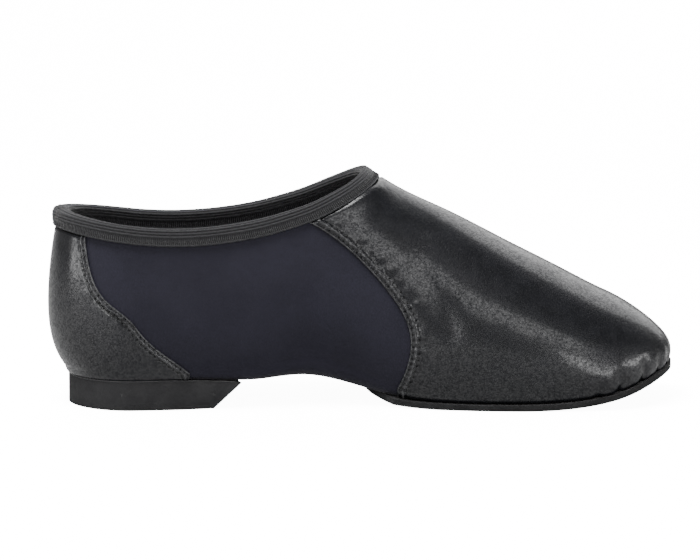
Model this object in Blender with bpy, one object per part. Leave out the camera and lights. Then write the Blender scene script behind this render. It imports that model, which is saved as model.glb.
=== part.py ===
"""Slip-on jazz shoe for the left foot, standing empty on the floor.

The shoe is put together from a hollow upper (neoprene quarters and arch with their lining), a leather vamp and a
leather heel counter laid over it, an elastic binding folded over the topline, an insole inside, and a split sole:
a forefoot sole and a heel block, with the neoprene bare under the arch.

X runs from heel to toe, +Y is the outer (lateral) side of the foot and Z is up. The origin is on the floor under
the middle of the shoe's length. All lengths are in metres.
"""

import math

import bmesh
import bpy
import numpy as np

MM = 0.001

# Driving sizes
SHOE_LENGTH = 245 * MM
BALL_WIDTH = 78 * MM  # across the feather edge, the corner between side and underside
INSTEP_HEIGHT = 90 * MM  # floor to the ridge at the throat
BACK_HEIGHT = 75 * MM  # floor to the topline at the heel
HEEL_HEIGHT = 11.4 * MM
TOE_SPRING = 12.6 * MM  # lift of the toe tip off the floor

# Materials and clearances
UPPER_WALL = 1.6 * MM  # neoprene with its lining
LEATHER_THICKNESS = 0.9 * MM
BINDING_THICKNESS = 1.1 * MM
BINDING_WIDTH = 5.6 * MM  # how far the binding reaches down the outside, and the inside
SOLE_THICKNESS = 2.4 * MM
INSOLE_THICKNESS = 3.0 * MM
FIT_GAP = 0.3 * MM  # between pieces that meet
INSOLE_GAP = 0.7 * MM  # round and under the insole, which lies loose in the shoe

# The rounded ends of the plan, and how the wall tucks in over the feather edge
HEEL_CAP = 25 * MM
TOE_CAP = 25 * MM
HEEL_FOOT = 7.7 * MM  # from the back of the shoe forward to the feather edge
TOE_FOOT = 1.9 * MM  # from the front of the shoe back to the feather edge
HEEL_TUCK = 7.9 * MM
TOE_TUCK = 1.0 * MM
TUCK_RISE = 10 * MM  # height over which the wall swings out to its full width
SHOULDER = 0.60  # handles of the section's curve: 0.55 is an ellipse, more is boxier
CROWN = 0.62
FEATHER_ROUND = 9 * MM  # radius under the arch, of which the other sections take a share

# Underside
MARGIN = 8 * MM  # how far the upper is lasted in under the insole
ARCH_FROM, ARCH_TO = 58 * MM, 138 * MM  # where the neoprene closes across the underside, from the back of the shoe
ARCH_SAG = 1.2 * MM  # how far it bellies down there between heel and sole
SOLE_PROUD = 0.8 * MM  # the forefoot sole stands out past the leather
HEEL_INSET = 0.3 * MM  # the heel block stands in from the feather edge
HEEL_TREAD_LENGTH = 55.7 * MM
HEEL_SEAT_LENGTH = 66.6 * MM
SOLE_BACK = 132 * MM  # from the back of the shoe to the rear end of the forefoot sole
SOLE_BOW = 12 * MM  # how far that end bows back at its middle
BREAST_BOW = 2.5 * MM  # how far the front of the heel hollows back at its middle
EDGE_BEVEL = 0.5 * MM
END_ROOM = 3 * MM  # least length of the strip next to the sole's rear end and the heel's front

# Sections across the last, heel to toe. along is a share of SHOE_LENGTH; half, centre, lean and flare are shares
# of BALL_WIDTH; heel, sole and spring are shares of the heel height, sole thickness and toe spring that lift the
# feather edge; ridge is a share of INSTEP_HEIGHT and round of FEATHER_ROUND.
SECTION_COLUMNS = ("along", "half", "centre", "lean", "flare", "heel", "sole", "spring", "ridge", "round")
SECTIONS = (
    (0.000, 0.335, 0.000, 0.000, 0.030, 1.00, 0.00, 0.00, 1.240, 0.33),
    (0.135, 0.345, 0.000, 0.000, 0.040, 1.00, 0.00, 0.00, 1.270, 0.33),
    (0.245, 0.334, 0.010, -0.006, 0.050, 0.97, 0.00, 0.00, 1.240, 0.36),
    (0.335, 0.312, 0.028, -0.026, 0.064, 0.88, 0.00, 0.00, 1.200, 0.60),
    (0.408, 0.308, 0.049, -0.051, 0.076, 0.95, 0.00, 0.00, 1.140, 0.90),
    (0.482, 0.340, 0.064, -0.077, 0.076, 0.59, 0.25, 0.00, 1.045, 0.80),
    (0.551, 0.391, 0.064, -0.090, 0.064, 0.10, 0.98, 0.00, 0.925, 0.45),
    (0.633, 0.462, 0.051, -0.083, 0.045, 0.00, 0.98, 0.00, 0.815, 0.33),
    (0.735, 0.500, 0.028, -0.064, 0.038, 0.00, 0.98, 0.00, 0.670, 0.33),
    (0.816, 0.485, 0.000, -0.038, 0.032, 0.00, 1.00, 0.06, 0.556, 0.33),
    (0.890, 0.430, -0.032, -0.013, 0.026, 0.00, 1.00, 0.28, 0.452, 0.33),
    (0.947, 0.370, -0.051, 0.000, 0.019, 0.00, 1.00, 0.62, 0.390, 0.33),
    (1.000, 0.300, -0.070, 0.000, 0.013, 0.00, 1.00, 1.00, 0.340, 0.33),
)

# The topline seen from the side: shares of SHOE_LENGTH and BACK_HEIGHT.
TOPLINE_COLUMNS = ("along", "height")
TOPLINE = (
    (0.000, 1.008),
    (0.061, 0.978),
    (0.143, 0.940),
    (0.212, 0.929),
    (0.286, 0.946),
    (0.347, 0.981),
    (0.388, 1.018),
    (0.424, 1.059),
    (0.451, 1.100),
    (0.478, 1.144),
    (0.498, 1.182),
)

# Guide lines of one side over the flattened last, each a cubic curve from the feather edge in past the topline: the
# guide's number among the lines of one side, where it starts round the plan's edge (0 heel, 1 toe) and its three
# other control points, x as a share of SHOE_LENGTH and y of the half breadth. The counter's and the vamp's seams
# are two of them.
GUIDE_COLUMNS = ("line", "rim", "x1", "y1", "x2", "y2", "x3", "y3")
GUIDES = (
    (0, 0.000, 0.047, 0.00, 0.062, 0.00, 0.098, 0.00),
    (5, 0.130, 0.072, 0.70, 0.061, 0.37, 0.094, 0.17),
    (9, 0.231, 0.155, 0.915, 0.070, 0.925, 0.096, 0.36),
    (13, 0.380, 0.322, 0.88, 0.248, 0.75, 0.240, 0.45),
    (18, 0.537, 0.588, 0.83, 0.592, 0.67, 0.385, 0.56),
    (21, 0.670, 0.668, 0.80, 0.608, 0.56, 0.474, 0.30),
    (25, 0.825, 0.800, 0.62, 0.668, 0.36, 0.486, 0.15),
    (33, 1.000, 0.878, 0.00, 0.694, 0.00, 0.480, 0.00),
)
OPENING_MIDDLE = 65 * MM  # a point inside the opening, from the back of the shoe
BACK_LINE, COUNTER_LINE, VAMP_LINE, TOE_LINE = 0, 9, 18, 33
WALL_ROWS = 11  # from the feather edge to the binding's lower edge
BINDING_ROWS = 2
ROW_BUNCHING = 1.45  # rows lie closer together towards the feather edge
FILLET_ROWS = 3  # margin's edge, end of the fillet and its middle
ARCH_COLUMNS, INSOLE_COLUMNS, SOLE_COLUMNS, HEEL_COLUMNS = 4, 4, 6, 4  # faces across the underside


def natural_spline(xs, ys):
    """The natural cubic spline through the points, straight past both ends."""
    xs, ys = np.asarray(xs, float), np.asarray(ys, float)
    n = len(xs)
    h = np.diff(xs)
    slope = np.diff(ys) / h
    system, right = np.eye(n), np.zeros(n)
    for i in range(1, n - 1):
        system[i, i - 1 : i + 2] = h[i - 1], 2 * (h[i - 1] + h[i]), h[i]
        right[i] = 6 * (slope[i] - slope[i - 1])
    bend = np.linalg.solve(system, right)
    start = slope[0] - h[0] * bend[1] / 6
    end = slope[-1] + h[-1] * bend[-2] / 6

    def at(x):
        x = np.asarray(x, float)
        inside = np.clip(x, xs[0], xs[-1])
        i = np.clip(np.searchsorted(xs, inside, side="right") - 1, 0, n - 2)
        a, b = xs[i + 1] - inside, inside - xs[i]
        value = (bend[i] * a**3 + bend[i + 1] * b**3) / (6 * h[i])
        value += (ys[i] / h[i] - bend[i] * h[i] / 6) * a + (ys[i + 1] / h[i] - bend[i + 1] * h[i] / 6) * b
        return value + start * np.minimum(x - xs[0], 0) + end * np.maximum(x - xs[-1], 0)

    return at


def steady_curve(xs, ys):
    """A smooth curve through the points that never swings past them."""
    xs, ys = np.asarray(xs, float), np.asarray(ys, float)
    h = np.diff(xs)
    slope = np.diff(ys) / h
    before, after = slope[:-1], slope[1:]
    same_way = before * after > 0
    mean = 2 * before * after / np.where(same_way, before + after, 1)
    tangent = np.concatenate([slope[:1], np.where(same_way, mean, 0), slope[-1:]])

    def at(x):
        i = int(np.clip(np.searchsorted(xs, x, side="right") - 1, 0, len(xs) - 2))
        t = (x - xs[i]) / h[i]
        value = ys[i] * (1 + 2 * t) * (1 - t) ** 2 + ys[i + 1] * t**2 * (3 - 2 * t)
        return value + h[i] * (tangent[i] * t * (1 - t) ** 2 - tangent[i + 1] * t**2 * (1 - t))

    return at


def columns(names, rows, along, curve):
    """One curve for each column of a table, against its first column times along."""
    table = dict(zip(names, zip(*rows)))
    first = np.array(table[names[0]]) * along
    return {name: curve(first, table[name]) for name in names[1:]}


SECTION = columns(SECTION_COLUMNS, SECTIONS, SHOE_LENGTH, natural_spline)
TOP = columns(TOPLINE_COLUMNS, TOPLINE, SHOE_LENGTH, natural_spline)
GUIDE = columns(GUIDE_COLUMNS, GUIDES, 1, steady_curve)

# The spine of the plan: the straight line between the centres of its two round ends
SPINE = (HEEL_FOOT + HEEL_CAP, SHOE_LENGTH - TOE_FOOT - TOE_CAP)


def feather_height(x):
    """Height of the underside of the upper, x from the back of the shoe."""
    lift = SECTION["heel"](x) * HEEL_HEIGHT + SECTION["spring"](x) * TOE_SPRING
    return FIT_GAP + lift + SECTION["sole"](x) * SOLE_THICKNESS


def underside(x, lift):
    """Height of a layer above or below the underside of the upper, lift being square to it."""
    slope = (feather_height(x + MM) - feather_height(x - MM)) / (2 * MM)
    return feather_height(x) + lift * np.sqrt(1 + slope**2)


def feather_round(x):
    return np.maximum(SECTION["round"](x), 0.3) * FEATHER_ROUND


def topline_height(x):
    return TOP["height"](x) * BACK_HEIGHT


def plan_radius(x_flat, y_flat):
    """Distance of a point of the flattened plan from its spine: 1 at the feather edge."""
    spine = np.clip(x_flat, *SPINE)
    return np.hypot((x_flat - spine) / np.where(x_flat < spine, HEEL_CAP, TOE_CAP), y_flat)


def last_surface(x_flat, y_flat):
    """Points of the upper's outer face, for points of the flattened plan (x from the back of the shoe, y from -1 at
    the inner feather edge to 1 at the outer one). The plan is a straight run between two round ends."""
    x_flat, y_flat = np.asarray(x_flat, float), np.asarray(y_flat, float)
    spine = np.clip(x_flat, *SPINE)
    at_heel = x_flat < spine
    cap = np.where(at_heel, HEEL_CAP, TOE_CAP)
    out = (x_flat - spine) / cap
    radius = np.maximum(np.hypot(out, y_flat), 1e-9)
    climb = 1 - radius
    plan = radius**3 + 3 * climb * radius**2 + 3 * climb**2 * radius * CROWN
    rise = 3 * climb * radius**2 * SHOULDER + 3 * climb**2 * radius + climb**3
    end, side = out / radius * plan, y_flat / radius * plan
    x = spine + cap * end
    low = feather_height(x) + feather_round(x)
    height = rise * (SECTION["ridge"](x) * INSTEP_HEIGHT - low)
    swing = 1 - np.exp(-np.maximum(height, 0) / TUCK_RISE)
    half = SECTION["half"](x) + SECTION["flare"](x) * swing
    y = SECTION["centre"](x) + SECTION["lean"](x) * rise + side * half
    x = x + np.where(at_heel, HEEL_TUCK, TOE_TUCK) * end * swing
    return np.stack([x, y * BALL_WIDTH, low + height], axis=-1)


def plan_rim(share):
    """Point of the flattened plan's edge, 0 at the back of the heel and 1 at the toe, for the +Y side."""
    heel_arc, run, toe_arc = math.pi / 2 * HEEL_CAP, SPINE[1] - SPINE[0], math.pi / 2 * TOE_CAP
    way = share * (heel_arc + run + toe_arc)
    if way < heel_arc:
        angle = way / HEEL_CAP
        return SPINE[0] - HEEL_CAP * math.cos(angle), math.sin(angle)
    if way < heel_arc + run:
        return SPINE[0] + way - heel_arc, 1.0
    angle = (heel_arc + run + toe_arc - way) / TOE_CAP
    return SPINE[1] + TOE_CAP * math.cos(angle), math.sin(angle)


def topline_plan(share):
    """The topline on the flattened plan for the +Y side, 0 at the back of the heel and 1 at the throat."""
    angle = math.pi * (1 - share)
    ray = np.array([0.4 * SHOE_LENGTH * math.cos(angle), math.sin(angle)])
    flat = np.array([OPENING_MIDDLE, 0]) + np.linspace(0.01, 2.0, 1000)[:, None] * ray
    flat = flat[plan_radius(flat[:, 0], flat[:, 1]) < 1]
    points = last_surface(flat[:, 0], flat[:, 1])
    over = topline_height(points[:, 0]) - points[:, 2]
    return [float(np.interp(0, over, flat[:, i])) for i in (0, 1)]


TOPLINE_FLAT = np.array([topline_plan(share) for share in np.linspace(0, 1, 120)])
CUFF = BINDING_WIDTH + FIT_GAP


def guide_curve(line, side, steps=160):
    """The guide line over the last as points from the feather edge to the cuff, and the rows under the cuff, which run
    straight to the nearest point of the topline."""
    at = {name: float(curve(line)) for name, curve in GUIDE.items()}
    corners = [plan_rim(at["rim"])] + [(at["x" + i] * SHOE_LENGTH, at["y" + i]) for i in "123"]
    w = np.linspace(0, 1, steps)[:, None]
    blend = ((1 - w) ** 3, 3 * w * (1 - w) ** 2, 3 * w**2 * (1 - w), w**3)
    flat = sum(b * np.array(corner) for b, corner in zip(blend, corners))
    points = last_surface(flat[:, 0], side * flat[:, 1])
    topline = last_surface(TOPLINE_FLAT[:, 0], side * TOPLINE_FLAT[:, 1])
    apart = np.linalg.norm(points[:, None] - topline[None], axis=2)
    nearest = apart.min(axis=1)
    last = int(np.argmax(nearest < CUFF))
    share = (nearest[last - 1] - CUFF) / (nearest[last - 1] - nearest[last])
    edge = flat[last - 1] + share * (flat[last] - flat[last - 1])
    top = TOPLINE_FLAT[int(np.argmin(apart[last]))]
    under = edge + (top - edge) * np.linspace(0, 1, BINDING_ROWS + 1)[:, None]
    under = last_surface(under[:, 0], side * under[:, 1])
    return np.vstack([points[:last], under[:1]]), under[1:]


def along_curve(points, ways):
    """Points at the given distances along a polyline."""
    way = np.concatenate([[0], np.cumsum(np.linalg.norm(np.diff(points, axis=0), axis=1))])
    return np.stack([np.interp(ways, way, points[:, i]) for i in range(3)], axis=-1)


def upper_line(line, side):
    """One line of the upper's outer face: under the insole, round the feather edge, then up the wall to the topline."""
    curve, under_binding = guide_curve(line, side)
    length = np.linalg.norm(np.diff(curve, axis=0), axis=1).sum()
    wall = along_curve(curve, length * np.linspace(0, 1, WALL_ROWS + 1) ** ROW_BUNCHING)
    foot, inward = wall[0], plan_inward(line, side)
    radius = float(feather_round(foot[0]))
    half_turn = radius * (1 - math.sqrt(0.5))
    steps = ((radius + MARGIN, radius), (radius, radius), (half_turn, radius - half_turn))
    under = np.array([foot + inset * inward for inset, drop in steps])
    under[:, 2] = feather_height(under[:, 0]) + radius - [drop for inset, drop in steps]
    return np.vstack([under, wall, under_binding])


def plan_inward(line, side):
    """Unit vector in plan, square to the feather edge and pointing into the shoe."""
    step = 0.05
    before, after = (rim_point(line + shift, side) for shift in (-step, step))
    way = (after - before)[:2]
    inward = np.array([way[1], -way[0]]) * side
    return np.append(inward / np.linalg.norm(inward), 0)


def rim_point(line, side):
    """Point of the feather line, also a little past the middle of heel or toe."""
    if line < BACK_LINE:
        line, side = -line, -side
    if line > TOE_LINE:
        line, side = 2 * TOE_LINE - line, -side
    x_flat, y_flat = plan_rim(float(GUIDE["rim"](line)))
    return last_surface(x_flat, side * y_flat)


# The lines run from the back of the heel along the outer side to the toe, and back along the inner side.
INNER, OUTER = -1, 1
ROUND_THE_SHOE = [(line, OUTER) for line in range(BACK_LINE, TOE_LINE + 1)]
ROUND_THE_SHOE += [(line, INNER) for line in range(TOE_LINE - 1, BACK_LINE, -1)]
SKIN = np.array([upper_line(line, side) for line, side in ROUND_THE_SHOE])
EDGE_ROW = FILLET_ROWS + WALL_ROWS  # the binding's lower edge


def line_at(line, side):
    return line if side == OUTER or line == TOE_LINE else len(ROUND_THE_SHOE) - line


def clear_scene():
    for obj in list(bpy.data.objects):
        bpy.data.objects.remove(obj)


def material(name, colour, roughness, metallic=0.0):
    made = bpy.data.materials.new(name)
    made.use_nodes = True
    shader = made.node_tree.nodes["Principled BSDF"]
    shader.inputs["Base Color"].default_value = (*colour, 1)
    shader.inputs["Roughness"].default_value = roughness
    shader.inputs["Metallic"].default_value = metallic
    return made


def add_object(name, mesh_maker, finish):
    """A named object from a bmesh, moved so that X = 0 is under the middle of the shoe's length."""
    mesh = bpy.data.meshes.new(name)
    for vert in mesh_maker.verts:
        vert.co.x -= SHOE_LENGTH / 2
    mesh_maker.to_mesh(mesh)
    mesh_maker.free()
    mesh.materials.append(finish)
    obj = bpy.data.objects.new(name, mesh)
    bpy.context.scene.collection.objects.link(obj)
    return obj


def skin_over(bm, grid, closed=False, flip=False):
    """Triangles between neighbouring rows of a grid of vertices. Every layer of the upper is split along the same
    diagonals, mirrored on the inner side, so that the layers keep apart; coinciding corners give no triangle."""
    rings = grid + grid[:1] if closed else grid
    for a, b in zip(rings, rings[1:]):
        for p, q, r, s in zip(a, a[1:], b[1:], b):
            outer_side = p.co.y + q.co.y + r.co.y + s.co.y > 0
            for corners in ((p, q, r), (p, r, s)) if outer_side else ((p, q, s), (q, r, s)):
                if len(set(corners)) == 3:
                    bm.faces.new(corners[::-1] if flip else corners)


def smooth(obj, angle=math.radians(40)):
    obj.data.shade_smooth()
    obj.data.set_sharp_from_angle(angle=angle)


def thicken(bm, thickness):
    """Close an open skin into a wall: a copy goes in along the normals and the rims are joined to it."""
    bm.normal_update()
    inner = {vert: bm.verts.new(vert.co - thickness * vert.normal) for vert in list(bm.verts)}
    rims = [edge for edge in bm.edges if edge.is_boundary]
    for face in list(bm.faces):
        bm.faces.new([inner[vert] for vert in reversed(face.verts)])
    for edge in rims:
        start, end = edge.verts
        bm.faces.new((start, end, inner[end], inner[start]))
    bmesh.ops.recalc_face_normals(bm, faces=bm.faces)


def skin_normals():
    """Outward unit normals of the upper's outer face at the points of SKIN."""
    bm = bmesh.new()
    grid = [[bm.verts.new(p) for p in line] for line in SKIN]
    skin_over(bm, grid, closed=True)
    bm.normal_update()
    normals = np.array([[vert.normal for vert in line] for line in grid])
    bm.free()
    return normals


NORMALS = skin_normals()


def across(outer, inner, count, drop=0.0):
    """A strip of points from the outer to the inner edge, bellied down by the arch's sag."""
    share = np.linspace(0, 1, count + 1)[:, None]
    strip = outer + (inner - outer) * share
    strip[:, 2] -= drop * 4 * share[:, 0] * (1 - share[:, 0])
    return strip


def arch_sag(x):
    """Sag of the underside at its middle, only between the heel block and the forefoot sole."""
    start, end = HEEL_FOOT + HEEL_INSET + HEEL_SEAT_LENGTH, SOLE_BACK - SOLE_BOW
    return ARCH_SAG * math.sin(math.pi * min(max((x - start) / (end - start), 0), 1)) ** 2


def upper():
    """The hollow upper: one wall, open at the topline and under forefoot and heel, closed under the arch."""
    bm = bmesh.new()
    grid = [[bm.verts.new(p) for p in line] for line in SKIN]
    skin_over(bm, grid, closed=True)
    strips = []
    for line in range(BACK_LINE + 1, TOE_LINE):
        outer, inner = (grid[line_at(line, side)][0] for side in (OUTER, INNER))
        if ARCH_FROM < outer.co.x < ARCH_TO:
            points = across(np.array(outer.co), np.array(inner.co), ARCH_COLUMNS, arch_sag(outer.co.x))
            strips.append([inner, *(bm.verts.new(p) for p in points[-2:0:-1]), outer])
    skin_over(bm, strips)
    thicken(bm, UPPER_WALL)
    smooth(add_object("upper", bm, material("neoprene", (0.018, 0.019, 0.030), 0.75)))


def overlay(name, lines):
    """A leather panel cut between two offsets of the upper's outer face, from under the feather edge to the cuff."""
    bm = bmesh.new()
    rows = range(FILLET_ROWS - 1, EDGE_ROW + 1)
    faces = []
    for lift in (FIT_GAP + LEATHER_THICKNESS, FIT_GAP):
        faces.append([[SKIN[i, row] + lift * NORMALS[i, row] for row in rows] for i in lines])
    slab(bm, *faces)
    smooth(add_object(name, bm, material(name + "_leather", (0.012, 0.012, 0.013), 0.32)))


def collar_binding():
    """Elastic folded over the topline: down the outside, and down the lining."""
    near, far = FIT_GAP, FIT_GAP + BINDING_THICKNESS
    outside, inside = [], []
    for skin, normal in zip(SKIN, NORMALS):
        rise = skin[-1] - skin[-2]
        length = np.linalg.norm(rise)
        edge = skin[EDGE_ROW] + (skin[EDGE_ROW + 1] - skin[EDGE_ROW]) * FIT_GAP / length
        rows, ways = [edge, *skin[EDGE_ROW + 1 :]], normal[EDGE_ROW:]
        for fold, gap, bulge in ((outside, far, 0.5), (inside, near, 1.0)):
            half = UPPER_WALL / 2 + gap
            crown = rows[-1] - ways[-1] * UPPER_WALL / 2 + rise / length * gap
            strip = [row + gap * way for row, way in zip(rows, ways)]
            strip += [crown + ways[-1] * half * bulge, crown - ways[-1] * half * bulge]
            strip += [row - (UPPER_WALL + gap) * way for row, way in zip(rows[::-1], ways[::-1])]
            fold.append(strip)
    bm = bmesh.new()
    slab(bm, outside, inside, closed=True)
    bmesh.ops.recalc_face_normals(bm, faces=bm.faces)
    smooth(add_object("collar_binding", bm, material("elastic", (0.035, 0.035, 0.037), 0.85)))


def slab(bm, top, bottom, closed=False):
    """A closed body between two grids of points; a strip that has shrunk to a point has no width there."""
    top, bottom = ([strip_verts(bm, strip) for strip in grid] for grid in (top, bottom))
    skin_over(bm, top, closed)
    skin_over(bm, bottom, closed, flip=True)
    if closed:
        for column in (0, -1):
            skin_over(bm, [[a[column], b[column]] for a, b in zip(top, bottom)], closed, flip=column == 0)
        return
    edges = []
    for grid in (top, bottom):
        back, front = grid[0], grid[-1]
        edges.append([*back, *(s[-1] for s in grid[1:-1]), *front[::-1], *(s[0] for s in grid[-2:0:-1]), back[0]])
    skin_over(bm, edges)
    bmesh.ops.remove_doubles(bm, verts=bm.verts, dist=1e-7)
    bmesh.ops.recalc_face_normals(bm, faces=bm.faces)


def strip_verts(bm, strip):
    """Vertices of one strip of points; a strip without width is a single vertex, used over and over."""
    if np.ptp(np.asarray(strip), axis=0).max() < 1e-6:
        return [bm.verts.new(strip[0])] * len(strip)
    return [bm.verts.new(p) for p in strip]


def bevel_edges(obj, width):
    edge = obj.modifiers.new("edge", "BEVEL")
    edge.width = width
    edge.segments = 1
    edge.limit_method = "ANGLE"
    edge.angle_limit = math.radians(50)


def feather_points(side):
    """Points of the feather line of one side, heel to toe, with the unit vectors that point into the shoe."""
    lines = range(BACK_LINE, TOE_LINE + 1)
    points = np.array([rim_point(line, side) for line in lines])
    return points, np.array([plan_inward(line, side) for line in lines])


def outline(inset):
    """The feather line of both sides moved in by inset (a number, or one for each line), as x and y."""
    sides = []
    for side in (OUTER, INNER):
        points, inward = feather_points(side)
        sides.append((points + inward * np.reshape(inset, (-1, 1)))[:, :2])
    return sides


def insole():
    """The insole lies on the lasted margin and the arch, inside the wall."""
    points = feather_points(OUTER)[0]
    radius = feather_round(points[:, 0])
    floor = UPPER_WALL + INSOLE_GAP
    grids = []
    for lift in (floor + INSOLE_THICKNESS, floor):
        faceted = np.maximum(radius - UPPER_WALL, 0) * math.cos(math.pi / 8)
        reach = faceted**2 - np.maximum(radius - lift, 0) ** 2
        inset = np.where(radius > lift, radius - np.sqrt(np.maximum(reach, 0)), UPPER_WALL) + INSOLE_GAP
        outer, inner = outline(inset)
        grid = []
        for a, b in zip(outer, inner):
            ends = (np.append(p, underside(p[0], lift)) for p in (a, b))
            grid.append(across(*ends, INSOLE_COLUMNS))
        grids.append(grid)
    bm = bmesh.new()
    slab(bm, *grids)
    obj = add_object("insole", bm, material("insole_lining", (0.02, 0.02, 0.022), 0.9))
    smooth(obj)


def forefoot_sole():
    """The front of the split sole, from the tread of the ball to the tip of the toe."""
    outer, inner = outline(-(FIT_GAP + LEATHER_THICKNESS + SOLE_PROUD))
    pairs = [(a, b) for a, b in zip(outer, inner) if min(a[0], b[0]) > SOLE_BACK + END_ROOM]
    across_sole = np.linspace(0, 1, SOLE_COLUMNS + 1)[:, None]
    back = [np.array([SOLE_BACK, np.interp(SOLE_BACK, side[:, 0], side[:, 1])]) for side in (outer, inner)]
    back = back[0] + (back[1] - back[0]) * across_sole
    back[:, 0] -= SOLE_BOW * 4 * (across_sole * (1 - across_sole))[:, 0]
    strips = [a + (b - a) * across_sole for a, b in pairs]
    strips = [back + (strips[0] - back) * share for share in (0, 0.25, 0.5, 0.75)] + strips
    top, under = [], []
    for strip in strips:
        top.append(np.column_stack([strip, underside(strip[:, 0], -FIT_GAP)]))
        tread = np.maximum(underside(strip[:, 0], -FIT_GAP - SOLE_THICKNESS), 0)
        under.append(np.column_stack([strip, tread]))
    bm = bmesh.new()
    slab(bm, top, under)
    obj = add_object("forefoot_sole", bm, material("sole_suede", (0.022, 0.022, 0.024), 0.9))
    bevel_edges(obj, EDGE_BEVEL)
    smooth(obj)


def heel():
    """The heel block: flat on the floor, its top following the underside of the upper."""
    outer, inner = outline(HEEL_INSET)
    back = outer[0][0]
    breast = back + HEEL_SEAT_LENGTH
    pairs = [(a, b) for a, b in zip(outer, inner) if max(a[0], b[0]) < breast - END_ROOM]
    last = tuple(np.array([breast, np.interp(breast, side[:, 0], side[:, 1])]) for side in (outer, inner))
    top, tread = [], []
    for a, b in [*pairs, last]:
        flat = a + (b - a) * np.linspace(0, 1, HEEL_COLUMNS + 1)[:, None]
        if a is last[0]:
            flat[:, 0] -= BREAST_BOW * (1 - np.linspace(-1, 1, HEEL_COLUMNS + 1) ** 2)
        top.append(np.column_stack([flat, underside(flat[:, 0], -FIT_GAP)]))
        share = (flat[:, 0] - back) / HEEL_SEAT_LENGTH
        under = flat - np.column_stack([(HEEL_SEAT_LENGTH - HEEL_TREAD_LENGTH) * share**3, 0 * share])
        tread.append(np.column_stack([under, 0 * share]))
    bm = bmesh.new()
    slab(bm, top, tread)
    obj = add_object("heel", bm, material("heel_rubber", (0.028, 0.028, 0.030), 0.8))
    bevel_edges(obj, EDGE_BEVEL)
    smooth(obj)


def main():
    clear_scene()
    upper()
    count = len(ROUND_THE_SHOE)
    overlay("vamp", range(VAMP_LINE, count - VAMP_LINE + 1))
    overlay("heel_counter", [i % count for i in range(count - COUNTER_LINE, count + COUNTER_LINE + 1)])
    collar_binding()
    insole()
    forefoot_sole()
    heel()


main()
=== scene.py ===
"""Looks of the left jazz shoe: stretch neoprene quarters, glossy grained leather vamp and heel counter, ribbed
elastic binding, split suede sole and rubber heel, standing empty on a pale studio floor."""

import math

import bmesh
import bpy
import numpy as np
from mathutils import Matrix, Vector, kdtree, noise


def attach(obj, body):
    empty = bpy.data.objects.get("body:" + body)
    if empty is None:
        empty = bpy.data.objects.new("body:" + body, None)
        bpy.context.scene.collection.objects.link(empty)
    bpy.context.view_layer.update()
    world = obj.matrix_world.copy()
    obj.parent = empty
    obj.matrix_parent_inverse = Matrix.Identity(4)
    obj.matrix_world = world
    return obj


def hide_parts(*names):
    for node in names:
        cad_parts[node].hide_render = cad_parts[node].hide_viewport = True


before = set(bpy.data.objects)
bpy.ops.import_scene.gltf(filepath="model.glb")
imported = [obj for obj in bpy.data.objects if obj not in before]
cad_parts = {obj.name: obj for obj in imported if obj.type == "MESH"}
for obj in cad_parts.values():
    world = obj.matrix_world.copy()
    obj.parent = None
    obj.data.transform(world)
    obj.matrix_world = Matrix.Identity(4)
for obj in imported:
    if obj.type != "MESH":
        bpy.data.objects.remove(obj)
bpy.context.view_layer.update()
MM = 0.001

# Neoprene quarters: the stretch body of the shoe, a knit-faced neoprene with a cloth lining, pulled over the last
# and lasted in under the insole. It shows between counter and vamp and closes the arch underneath. The shape of the
# last is set out here, because the quarters are the first piece that is pulled over it.
SHOE_LENGTH = 245 * MM
BALL_WIDTH = 78 * MM
INSTEP_HEIGHT = 90 * MM
BACK_HEIGHT = 75 * MM
HEEL_HEIGHT = 11.4 * MM
TOE_SPRING = 12.6 * MM
SOLE_THICKNESS = 2.4 * MM
UPPER_WALL = 1.6 * MM
BINDING_WIDTH = 5.6 * MM
FIT_GAP = 0.3 * MM
HEEL_CAP, TOE_CAP = 25 * MM, 25 * MM
HEEL_FOOT, TOE_FOOT = 7.7 * MM, 1.9 * MM
HEEL_TUCK, TOE_TUCK, TUCK_RISE = 7.9 * MM, 1.0 * MM, 10 * MM
SHOULDER, CROWN = 0.60, 0.62
FEATHER_ROUND = 9 * MM
MARGIN = 8 * MM
ARCH_FROM, ARCH_TO, ARCH_BELOW = 58 * MM, 138 * MM, 35 * MM
ARCH_SAG, SAG_TO, SAG_EDGE = 1.2 * MM, 120 * MM, 9 * MM
HEEL_INSET, HEEL_SEAT_LENGTH = 0.3 * MM, 66.6 * MM
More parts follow.
